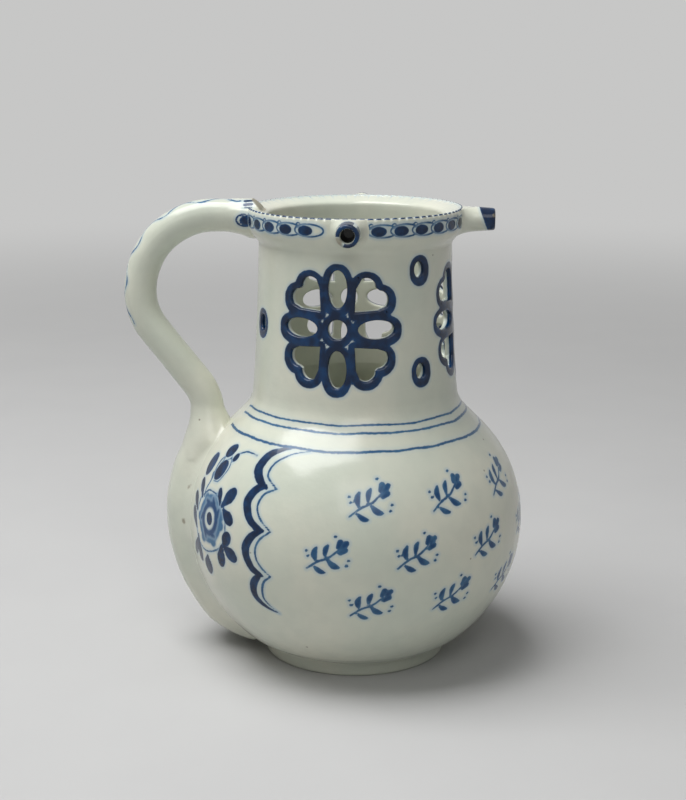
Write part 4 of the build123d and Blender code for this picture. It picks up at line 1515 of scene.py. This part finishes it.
def head_dash(around):
    """A dash across the handle's head, as a stroke."""
    (start, start_width), (end, end_width) = dash_start, dash_end
    first = (*on_handle(start, handle_height, around), start_width + surface_slack)
    last = (*on_handle(end, handle_height, around - dash_slant), end_width + surface_slack)
    return smooth_line([first, last], 0.3)


def paint_handle(bare):
    places = places_of(handle_and_duct)
    x, y, height = places.T
    store_paint(handle_and_duct, "thin", stroke_distances(places, [wavering_line()]))
    dashes = stroke_distances(places, [head_dash(around) for around in dash_bearings])
    # The rim's chain ends with one loop on each side of the handle's head
    across, up = x + flank_reach, height - flank_height
    loop = np.abs(ellipse_distance(across, up, flank_loop, loop_half_height)) - loop_line
    heart = ellipse_distance(across - flank_heart_shift, up + heart_drop, *flank_heart)
    flank = (np.abs(y) > flank_side) & (x > -flank_end)
    chain = np.where(flank, np.minimum(loop, heart), FAR)
    store_paint(handle_and_duct, "dark", np.minimum(dashes, chain))
    chips = [np.linalg.norm(places - chip, axis=1) - size for chip, size in chip_places]
    store_paint(handle_and_duct, "bare", np.minimum.reduce([bare, *chips]))


paint_handle(shape_head())
hand_over(
    handle_and_duct, handle_glaze, "handle_tube", "handle_head_lute", "handle_heel_lute",
    "belly_duct", "duct_lute_front", "duct_lute_back",
)

# %% [markdown]
# ## Floor, light and camera
# The jug stands on a plain pale floor under one large soft light from above on the left,
# so that its shadow falls to the right, with a weak light from the front and an even sky.
# The camera was solved from the photograph: the ellipses of foot and rim give its height
# and tilt, and the outline gives its distance.

# %% The floor
floor_width, floor_front, floor_back, floor_curve, wall_height = 6.0, -3.0, 2.2, 1.6, 4.0
fade_start, fade_end = 0.3, 1.5  # metres from the jug
floor_lumps, floor_roughness = 14, 0.9
FLOOR_DARK, FLOOR_LIGHT = (0.52, 0.52, 0.52, 1), (0.56, 0.56, 0.555, 1)
PALE_GROUND = (0.57, 0.57, 0.565, 1)


def seen_rays(tree):
    """1 for rays from the camera, by reflection or through glass, and 0 for other rays."""
    path = add_node(tree, "ShaderNodeLightPath").outputs
    direct = maths(tree, "MAXIMUM", path["Is Camera Ray"], path["Is Glossy Ray"])
    return maths(tree, "MAXIMUM", direct, path["Is Transmission Ray"])


def build_floor():
    """A floor that curves up into a wall far behind the jug, so that no edge shows."""
    bends = np.linspace(0, pi / 2, 24)[1:]
    bend = [(floor_back + floor_curve * sin(t), floor_curve * (1 - cos(t))) for t in bends]
    section = [(floor_front, 0.0), (floor_back, 0.0), *bend]
    section.append((floor_back + floor_curve, wall_height))
    points = [(x, y, z) for y, z in section for x in (-floor_width, floor_width)]
    faces = [(2 * k, 2 * k + 1, 2 * k + 3, 2 * k + 2) for k in range(len(section) - 1)]
    mesh = bpy.data.meshes.new("floor")
    mesh.from_pydata(points, [], faces)
    mesh.shade_smooth()
    floor = put_in_scene("floor", mesh)
    material = bpy.data.materials.new("pale_floor")
    material.use_nodes = True
    tree = material.node_tree
    place = object_place(tree)
    tone = mix_colour(tree, noise(tree, place, floor_lumps, 4.0), FLOOR_DARK, FLOOR_LIGHT)
    shader = tree.nodes["Principled BSDF"]
    tree.links.new(tone, shader.inputs["Base Color"])
    shader.inputs["Roughness"].default_value = floor_roughness
    # Far from the jug the floor fades into an even pale ground for the camera
    away = add_node(tree, "ShaderNodeVectorMath", {0: place}, operation="LENGTH").outputs["Value"]
    share = maths(tree, "MULTIPLY", ease(tree, away, fade_start, fade_end), seen_rays(tree))
    pale = add_node(tree, "ShaderNodeEmission", {"Color": PALE_GROUND, "Strength": 1.0})
    inputs = {0: share, 1: shader.outputs[0], 2: pale.outputs[0]}
    mixed = add_node(tree, "ShaderNodeMixShader", inputs)
    tree.links.new(mixed.outputs[0], tree.nodes["Material Output"].inputs["Surface"])
    mesh.materials.append(material)


build_floor()

# %% Lamps and sky
lamp_target = Vector((0, 0, 0.1))
sky_light = 0.15


def add_softbox(name, place, side, power):
    """A square lamp, with its place and side in metres and its power in watts."""
    lamp = bpy.data.lights.new(name, "AREA")
    lamp.shape, lamp.size, lamp.size_y, lamp.energy = "RECTANGLE", side, side, power
    box = put_in_scene(name, lamp)
    box.location = place
    box.rotation_euler = (lamp_target - box.location).to_track_quat("-Z", "Y").to_euler()


def build_sky():
    """A white sky for the light, and the pale ground where the sky itself is seen."""
    sky = bpy.data.worlds.new("sky")
    bpy.context.scene.world = sky
    sky.use_nodes = True
    tree = sky.node_tree
    tree.nodes.clear()
    white = {"Color": (1, 1, 1, 1), "Strength": sky_light}
    plain = add_node(tree, "ShaderNodeBackground", white).outputs[0]
    ground = {"Color": PALE_GROUND, "Strength": 1.0}
    seen = add_node(tree, "ShaderNodeBackground", ground).outputs[0]
    mixed = add_node(tree, "ShaderNodeMixShader", {0: seen_rays(tree), 1: plain, 2: seen})
    add_node(tree, "ShaderNodeOutputWorld", {"Surface": mixed.outputs[0]})


add_softbox("overhead_softbox", (-0.38, -0.08, 1.2), 0.85, 16.5)
add_softbox("front_softbox", (0.15, -1.25, 1.1), 0.8, 4.2)
build_sky()

# %% The camera
camera_place = Vector((34.5, -644.2, 259.5)) * MM
look_across, look_down = radians(-3.503), radians(13.435)
lens, sensor_height = 72.82, 36.0  # mm
camera_data = bpy.data.cameras.new("photo_camera")
camera_data.sensor_fit = "VERTICAL"
camera_data.sensor_height = sensor_height
camera_data.lens = lens
camera = put_in_scene("photo_camera", camera_data)
camera.location = camera_place
camera.rotation_euler = (pi / 2 - look_down, 0.0, -look_across)
bpy.context.scene.camera = camera
bpy.context.scene.view_settings.view_transform = "Standard"
